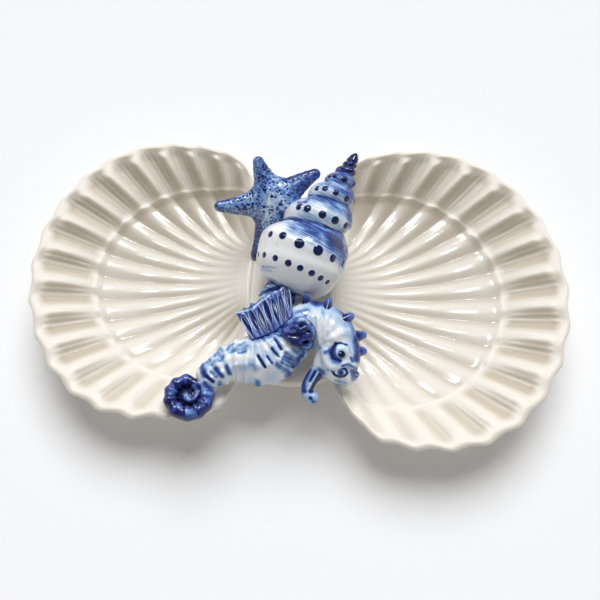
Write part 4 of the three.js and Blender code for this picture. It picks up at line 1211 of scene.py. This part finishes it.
def makeTail():
    t = tail
    x, y, z = t["spot"]
    root, before = (np.array(spot[:3]) for spot in seahorse["bodyPath"][:2])
    path = [(*mix(root, before, 0.3), t["root"] + t["rootFlare"]), (*root, t["root"])]
    marks, outs, radii = np.array(t["curl"]).T
    for turns in np.linspace(0, t["turns"], t["steps"]):
        turn = math.radians(t["start"] - turns * 360)
        out, radius = np.interp(turns, marks, outs), np.interp(turns, marks, radii)
        lift = z + t["tipLift"] * smooth(1.0, 1.3, turns)
        path.append((x + out * math.cos(turn), y + out * math.sin(turn), lift, radius))
    line = throughPoints(onBridge(path), 8)
    centres, ways, radii, run, angle = tubeRings(line, t["sides"])
    share = run / run[-1]
    knob = np.cos(2 * math.pi * run / t["knobPitch"] + 0.9 * np.sin(run / 5.3))
    lobes = 0.5 + 0.5 * np.cos(np.radians(angle * 3 - 60))
    calm = between(share, *t["knobSpan"])
    rise = t["knobRise"] * (knob * calm)[:, None] * (0.6 + 0.8 * lobes[None])
    points = centres + ways * (radii + rise)[..., None]
    white = (1 - smooth(*t["whiteRun"], run))[:, None]
    # painted light: the knobs' crests that face upwards are paler
    lit = smooth(0.1, 0.95, knob)[:, None] * smooth(0.3, 0.95, ways[..., 2])
    wash = mix(t["blue"] - t["knobPaintedLight"] * lit, t["white"], white)
    spots, seen = sight(points), seenBy(points, ways)
    wash = brushOn(wash, spots, t["strokes"], seen)
    wash = brushOn(wash, spots, rootStrokes, seen * white ** 0.5)
    wash = np.maximum(wash, (1 - white) * (1 - smooth(-0.1, 0.45, ways[..., 2])))
    middle, around = onBridge([t["spot"]])[0], fullTurn(t["floorSides"])
    floor = []
    for out, up in t["floorRings"]:
        floor.append([middle + (out * math.cos(k), out * math.sin(k), up) for k in around])
    makeTube("seahorseTail", "seahorse_tail", points, wash, run, angle, np.array(floor))


snout = {
    "path": [
        (23.2, -66.2, 17, 5.6), (16.0, -71, 15, 4.6), (11.6, -77, 12, 4.0), (11.3, -82, 10, 3.7),
        (14.4, -84.6, 10, 3.9),
    ],
    "sides": 48, "groove": [(316.6, 368.4), (310.2, 381)], "grooveWidth": 2.8, "grooveSoft": 1.4,
    "grooveDepth": 0.9, "wash": 0.28, "hiddenWash": 0.4,
    "strokes": [
        (0.86, 3.6, 1.6, [(309.5, 370), (303.6, 382), (303.4, 391)]),
        (0.95, 4.6, 1.4, [(321.5, 372.5), (314.6, 383.5), (311, 391)]),
        (0.99, 2.8, 1.0, [(316.6, 368.4), (310.2, 381)]),
        (0.12, 1.8, 1.0, [(318.8, 371), (311.8, 382.6), (308.6, 389)]),
        (0.92, 3.2, 1.1, [(310.4, 398), (310.8, 398.2)]), (0.8, 2.4, 1, [(305, 391), (305.2, 391.4)]),
        (0.8, 2.2, 1, [(313, 402), (313.4, 402)]),
    ],
}


def makeSnout():
    s = snout
    line = throughPoints(onBridge(s["path"]), 14)
    centres, ways, radii, run, angle = tubeRings(line, s["sides"])
    spots, seen = sight(centres + ways * radii[..., None]), seenBy(centres, ways)
    groove = strokeShare(spots, s["grooveWidth"], s["grooveSoft"], s["groove"])
    points = centres + ways * (radii - s["grooveDepth"] * groove * seen)[..., None]
    wash = brushOn(s["wash"] + s["hiddenWash"] * (1 - seen), spots, s["strokes"], seen)
    makeTube("seahorseSnout", "seahorse_snout", points, wash, run, angle)


dorsalFin = {
    "roots": [(-24.7, -51, 27), (-10, -46, 29.5), (2.3, -36.8, 32)],
    "tips": [(-33.1, -35.4, 28), (-14, -25.2, 32), (0.4, -17, 32)],
    "rays": 8, "perGap": 18, "rows": 40, "tuck": 3, "half": 0.8, "rayRise": 1.0, "notch": 0.07,
    "ruffle": 0.45,
    # slots between the rays: middle, half length and half width as shares of the fin and the gap
    "slots": (0.5, 0.36, 0.3), "slotShift": 0.08, "web": 0.62, "deep": 0.89, "lipPale": 0.42,
    "strokes": [
        (0.14, 2.0, 1, [(236, 312.6), (252, 309.4), (259.5, 302.5), (271, 294), (281, 289), (289, 284)]),
        (0.34, 1.6, 1, [(292.6, 284.5), (293, 300), (291, 312)]),
    ],
}


def makeDorsalFin():
    f = dorsalFin
    strips = (f["rays"] - 1) * f["perGap"] + 1
    rootLine, tipLine = (evenly(throughPoints(onBridge(f[key]), 20), strips) for key in ("roots", "tips"))
    phase = np.arange(strips) / f["perGap"]
    ray = np.cos(math.pi * (phase - np.round(phase))) ** 4
    outward = tipLine - rootLine
    length = np.linalg.norm(outward, axis=1)
    normal = unit(np.cross(np.gradient(rootLine, axis=0), outward))
    share = np.linspace(0, 1, f["rows"])[:, None]
    tuck = f["tuck"] / length
    stop = share * (1 - f["notch"] * (1 - ray) + tuck) - tuck
    wave = f["ruffle"] * np.sin(2 * math.pi * phase * 0.55 + 0.6) * share ** 1.2
    wave = wave + 0.4 * f["ruffle"] * np.sin(2 * math.pi * phase * 1.3 + 5 * share)
    spine = rootLine + outward * stop[..., None] + normal * wave[..., None]
    middle, halfLength, halfWidth = f["slots"]
    off = share - middle - f["slotShift"] * np.sin(np.floor(phase) * 2.4)
    ends = np.sqrt(np.clip(1 - (off / halfLength) ** 2, 0.0001, 1))
    lens = np.abs(phase - np.floor(phase) - 0.5) / (halfWidth * ends)
    slot = smooth(1.15, 0.8, lens)
    lip = hump(lens, 1.3, 0.22) * (ends > 0.05)
    half = f["half"] + f["rayRise"] * (1 - slot)
    half = half * np.sqrt(np.clip((1.015 - share) / 0.06, 0.02, 1))
    step = normal * half[..., None]
    loops = np.concatenate([spine + step, (spine - step)[::-1]])
    wash = mix(f["web"], f["deep"], slot) - f["lipPale"] * lip
    wash = brushOn(np.concatenate([wash, wash[::-1]]), sight(loops), f["strokes"])
    lengthwise = np.concatenate([share, share[::-1]]) * length
    brush = np.stack([lengthwise, np.broadcast_to(phase * 2, wash.shape), wash * 0], -1)
    makeBlue("seahorseDorsalFin", "seahorse_dorsal_fin", loops, loopFaces(*wash.shape), wash, brush)


pectoralFin = {
    # folds of the fin: radius, lift off the skin and line in the front view
    "folds": [
        (1.9, 2.6, [(284, 331), (291, 327), (298, 322), (304, 319.5)]),
        (2.0, 2.2, [(286, 334), (295, 333), (303, 329), (309, 327)]),
        (2.0, 2.2, [(289, 338.5), (297, 339.5), (305, 337.5), (312, 334)]),
        (1.9, 1.8, [(293, 342.5), (300, 345), (307, 346)]),
        (1.7, 2.4, [(304, 319.5), (310.5, 325.5), (313.5, 334), (308.5, 345.5)]),
        (1.5, 3.2, [(297, 327), (301, 335), (300, 341)]),
    ],
    # the root's radius, lift and line in the front view
    "root": (3.6, 0.2, [(290, 333), (305, 335)]), "blend": 1.0, "pitch": 0.5, "valley": 1.0, "top": 0.74,
    "below": 9, "above": 5,
    # height over the trunk where the valley's wash turns into the top's
    "turnsTop": (1.6, 4.4),
    "strokes": [
        (0.3, 4, 2.6, [(299, 320), (304, 319.5)]),
        (0.16, 2, 1.2, [(300.5, 318.2), (306, 320), (309, 324)]),
        (0.46, 4, 2.4, [(311, 327), (313.4, 333)]),
        (0.26, 1.8, 1.2, [(313, 328), (314.8, 334), (313, 339)]),
        (0.5, 4, 2, [(306.5, 343.5), (308.5, 345)]),
        (0.2, 1.4, 1, [(303, 347.4), (309, 347.8), (312, 343.5)]), (1, 4, 2, [(291, 336), (301, 334)]),
        (0.42, 2.4, 1.6, [(286, 329.5), (293, 325.5)]), (0.95, 1.5, 1, [(305, 344.5), (308, 342)]),
    ],
}


# Knotted folds on the side of the trunk
def makePectoralFin():
    f = pectoralFin
    eye = sightFrame()[0]

    def lifted(radius, lift, spots):
        skinSpots = [onSkin(headAndTrunk, spot) for spot in spots]
        return np.array([(*spot + unit(eye - spot) * lift, radius) for spot in skinSpots])

    shape = limb(lifted(*f["root"]))
    lines = [lifted(*fold) for fold in f["folds"]]
    for line in lines:
        shape = melt(shape, limb(throughPoints(line, 8)), f["blend"])
    every = np.concatenate(lines)[:, :3]
    points, faces = skin(shape, every.min(0) - f["below"], every.max(0) + f["above"], f["pitch"])
    wash = mix(f["valley"], f["top"], smooth(*f["turnsTop"], headAndTrunk(points)))
    wash = brushOn(wash, sight(points), f["strokes"])
    brush = points * (2.0, 0.4, 0.4)
    makeBlue("seahorsePectoralFin", "seahorse_pectoral_fin", points, faces, wash, brush)


crestSpines = {
    "ends": [
        ((10.5, -33, 28), (11, -23.4, 32)), ((22.5, -36, 30), (25.4, -26.4, 33)),
        ((31, -42, 28), (39.6, -37.6, 30)), ((36, -51, 23), (46.7, -47.6, 22)),
        ((37, -59, 20), (46.3, -57.2, 18)),
    ],
    # base radius, tip radius and reach of each
    "sizes": [(3.8, 1.9, 0.8), (4.7, 2.2, 0.72), (5.4, 2.6, 0.78), (5.6, 2.8, 0.88), (5.6, 2.8, 0.92)],
    "sides": 28, "pinch": 0.08, "wash": 0.94, "tipPale": 0.22, "frontPaintedHighlight": 0.24, "streak": 0.06,
}


def makeSpine(number):
    c = crestSpines
    base, tip = np.array(c["ends"][number - 1], float)
    wide, narrow, reach = c["sizes"][number - 1]
    path = [(*mix(base, tip, share * reach), mix(wide, narrow, share)) for share in np.linspace(0, 1, 6)]
    centres, ways, radii, run, angle = tubeRings(throughPoints(onBridge(path), 5), c["sides"])
    pinch = 1 + c["pinch"] * np.cos(np.radians(angle * 3 + 40 * number))
    points = centres + ways * (radii * pinch)[..., None]
    share = (run / run[-1])[:, None]
    wash = c["wash"] - c["tipPale"] * smooth(0.6, 0.95, share)
    # painted highlight: paler towards the tip where the spine faces the eye
    wash = wash - c["frontPaintedHighlight"] * seenBy(points, ways) * smooth(0.4, 0.9, share)
    wash = wash + c["streak"] * np.sin(np.radians(angle * 5))
    makeTube(f"crestSpine{number}", f"seahorse_crest_spine_{number}", points, wash, run, angle)


coronet = {
    "spot": (39.6, -71.4, 14.6), "radius": 3.5, "knobs": 5, "knobRise": 0.05, "rows": 40, "sides": 60,
    # middle of its dot in the front view, and wash of the pale ring, the rim and the dot
    "seen": (356.4, 376.6), "pale": 0.28, "rim": 0.6, "dot": 0.45,
}


def makeCoronet():
    c = coronet
    lift = np.radians(np.linspace(-88, 88, c["rows"]))
    lift, turn = np.meshgrid(lift, fullTurn(c["sides"]), indexing="ij")
    knobs = 1 + c["knobRise"] * np.cos(turn * c["knobs"]) * np.cos(lift) ** 2
    ways = np.stack([np.cos(lift) * np.cos(turn), np.cos(lift) * np.sin(turn), np.sin(lift)], -1)
    points = onBridge([c["spot"]])[0] + ways * (c["radius"] * knobs)[..., None]
    off = np.linalg.norm(sight(points) - c["seen"], axis=-1)
    wash = c["pale"] + c["rim"] * smooth(2.6, 4.4, off) + c["dot"] * (1 - smooth(0.7, 1.4, off))
    makeBlue("seahorseCoronet", "seahorse_coronet", points, flipped(tubeFaces(*lift.shape)), wash, ways * 4)


eyes = {
    "rows": 22, "sides": 56, "wash": 0.03, "toFront": 0.6,
    # rings below the dome, inside the head: share of the eye's width, and level
    "below": [(1.02, -1.5), (0.9, -3.6)],
    "upper": {
        "seen": (341, 351.6), "lean": -0.12, "wide": 4.6, "tall": 4.4, "bulge": 2.7, "sink": 0.4,
        "strokes": [
            # grey-blue over the top of the eyeball: painted shade under the lid
            (0.14, 8, 3, [(337, 346), (345, 346)]),
            (0.75, 2.4, 1.2, [(335.4, 345.6), (334, 352), (336, 357.5)]),
            (0.6, 2, 1.2, [(336, 357.5), (341, 359.6), (346, 358.5)]),
            # grey-blue ring round the pupil: painted shade
            (0.3, 9.5, 1.6, [(341.6, 354), (341.7, 354.1)]),
            (1, 6.6, 0.7, [(341.6, 354.2), (341.7, 354.3)]),
            # white dot in the pupil: painted highlight
            (0, 1.4, 0.5, [(340.3, 352.8), (340.5, 352.8)]),
        ],
    },
    "lower": {
        "seen": (340.2, 372.2), "lean": 0.0, "wide": 5.2, "tall": 4.0, "bulge": 1.3, "sink": 0.3,
        "strokes": [
            (0.95, 2.4, 0.8, [(332.4, 371.4), (335.4, 368.6), (340.5, 367.4), (345.5, 369),
                              (347.6, 373.2), (344.5, 376), (339, 376.8), (335, 375), (332.4, 371.4)]),
            (0.7, 6.4, 0.7, [(340.6, 372.3), (340.7, 372.3)]),
            (0.2, 4.4, 0.6, [(340.6, 372.3), (340.7, 372.3)]),
            (0.97, 3.2, 0.6, [(340.7, 372.5), (340.8, 372.5)]),
        ],
    },
}


# Eye: a low dome on the skin, turned as the skin is there and a little to the front
def makeEye(place):
    e = eyes[place]
    spot = onSkin(headAndTrunk, e["seen"])
    way = unit(slopeOf(headAndTrunk, spot[None])[0])
    way = unit(way + unit(sightFrame()[0] - spot) * eyes["toFront"] + np.array([0, e["lean"], 0]))
    aside = unit(np.cross((0, 1, 0), way))
    upward = np.cross(way, aside)
    section = [(math.sin(s), math.cos(s) * e["bulge"]) for s in np.linspace(0.02, math.pi / 2, eyes["rows"])]
    turn = fullTurn(eyes["sides"])
    rows = []
    for out, up in section + eyes["below"]:
        wide, tall = np.cos(turn) * out * e["wide"], np.sin(turn) * out * e["tall"]
        rows.append(spot + np.outer(wide, aside) + np.outer(tall, upward) + way * (up - e["sink"]))
    rows = np.array(rows)
    wash = brushOn(np.full(rows.shape[:2], eyes["wash"]), sight(rows), e["strokes"])
    name, node = f"seahorseEye{place.capitalize()}", f"seahorse_eye_{place}"
    makeBlue(name, node, rows, tubeFaces(*wash.shape), wash, rows - spot)


makeBody()
makeTail()
makeSnout()
makeDorsalFin()
makePectoralFin()
for number in range(1, len(crestSpines["ends"]) + 1):
    makeSpine(number)
makeCoronet()
makeEye("upper")
makeEye("lower")
print("seahorse made")


# Camera, lights and floor

studio = {
    "floorSize": 60, "floor": (0.80, 0.812, 0.838, 1), "floorRoughness": 0.7,
    # painted light: the floor glows a little, warm, so its shadows are lighter and warm as if lit by light
    # bounced off the cream; the floor's own colour is a little blue to keep the lit floor white
    "floorGlow": 0.1, "paintedBounceTint": (1, 0.93, 0.82, 1),
    "worldStrength": 0.17, "horizonGlow": 0.68, "horizonBand": (0.08, 0.2),
    "sunWay": (0.05, 0.53, 0.85), "sunFar": 1500, "sunStrength": 3.12, "sunAngle": 46,
    "softboxAim": (0, 0, 20),
}
# softboxes only show as highlights in the glaze; the sun and the world light the surfaces
softboxes = [
    {"name": "leftSoftbox", "spot": (-430, 540, 1000), "size": (300, 240), "power": 4},
    {"name": "rightSoftbox", "spot": (400, 540, 1010), "size": (300, 240), "power": 4},
    {"name": "topSoftbox", "spot": (-60, 300, 1250), "size": (120, 300), "power": 1.6},
]


def aim(thing, spot, target):
    thing.location = toFrame(spot)
    toward = Vector(toFrame(target)) - Vector(toFrame(spot))
    thing.rotation_euler = toward.to_track_quat("-Z", "Y").to_euler()


def addLight(name, kind, energy, spot, target):
    light = bpy.data.lights.new(name, kind)
    light.energy = energy
    lamp = bpy.data.objects.new(name, light)
    aim(lamp, spot, target)
    bpy.context.scene.collection.objects.link(lamp)
    return lamp


def makeLights():
    s = studio
    for box in softboxes:
        lamp = addLight(box["name"], "AREA", box["power"], box["spot"], s["softboxAim"])
        lamp.data.shape = "RECTANGLE"
        lamp.data.size, lamp.data.size_y = (side / perMetre for side in box["size"])
        lamp.visible_diffuse = False
    sun = addLight("keySun", "SUN", s["sunStrength"], np.array(s["sunWay"]) * s["sunFar"], (0, 0, 0))
    sun.data.angle = math.radians(s["sunAngle"])
    sun.visible_glossy = False
    world = bpy.data.worlds.new("studioWorld")
    world.use_nodes = True
    background = world.node_tree.nodes["Background"]
    background.inputs["Color"].default_value = (1, 1, 1, 1)
    # the sky near the horizon is as pale as the far floor
    wire = Wire(world.node_tree)
    way = wire.node("ShaderNodeTexCoord", None, None, "Generated")
    rise = wire.node("ShaderNodeSeparateXYZ", None, {"Vector": way}, "Z")
    glow = s["horizonGlow"] * (1 - rise.step(*s["horizonBand"]))
    feed(wire, background, Strength=s["worldStrength"] + glow)
    bpy.context.scene.world = world


def makeCamera():
    scene = bpy.context.scene
    camera = bpy.data.objects.new("photoCamera", bpy.data.cameras.new("photoCamera"))
    camera.data.sensor_width = viewpoint["film"]
    camera.data.lens = viewpoint["lens"]
    camera.data.shift_x, camera.data.shift_y = viewpoint["shift"]
    aim(camera, viewpoint["eye"], viewpoint["target"])
    scene.collection.objects.link(camera)
    scene.camera = camera
    scene.view_settings.view_transform = "Standard"


def makeFloor():
    half = studio["floorSize"] / 2
    mesh = bpy.data.meshes.new("floor")
    corners = [(-half, -half, 0), (half, -half, 0), (half, half, 0), (-half, half, 0)]
    mesh.from_pydata(corners, [], [(0, 1, 2, 3)])
    finish, _, shader = newFinish("floorPaper")
    shader.inputs["Base Color"].default_value = studio["floor"]
    shader.inputs["Roughness"].default_value = studio["floorRoughness"]
    # the floor's painted glow
    shader.inputs["Emission Color"].default_value = studio["paintedBounceTint"]
    shader.inputs["Emission Strength"].default_value = studio["floorGlow"]
    mesh.materials.append(finish)
    floor = bpy.data.objects.new("floor", mesh)
    bpy.context.scene.collection.objects.link(floor)


makeCamera()
makeLights()
makeFloor()
print("studio made")
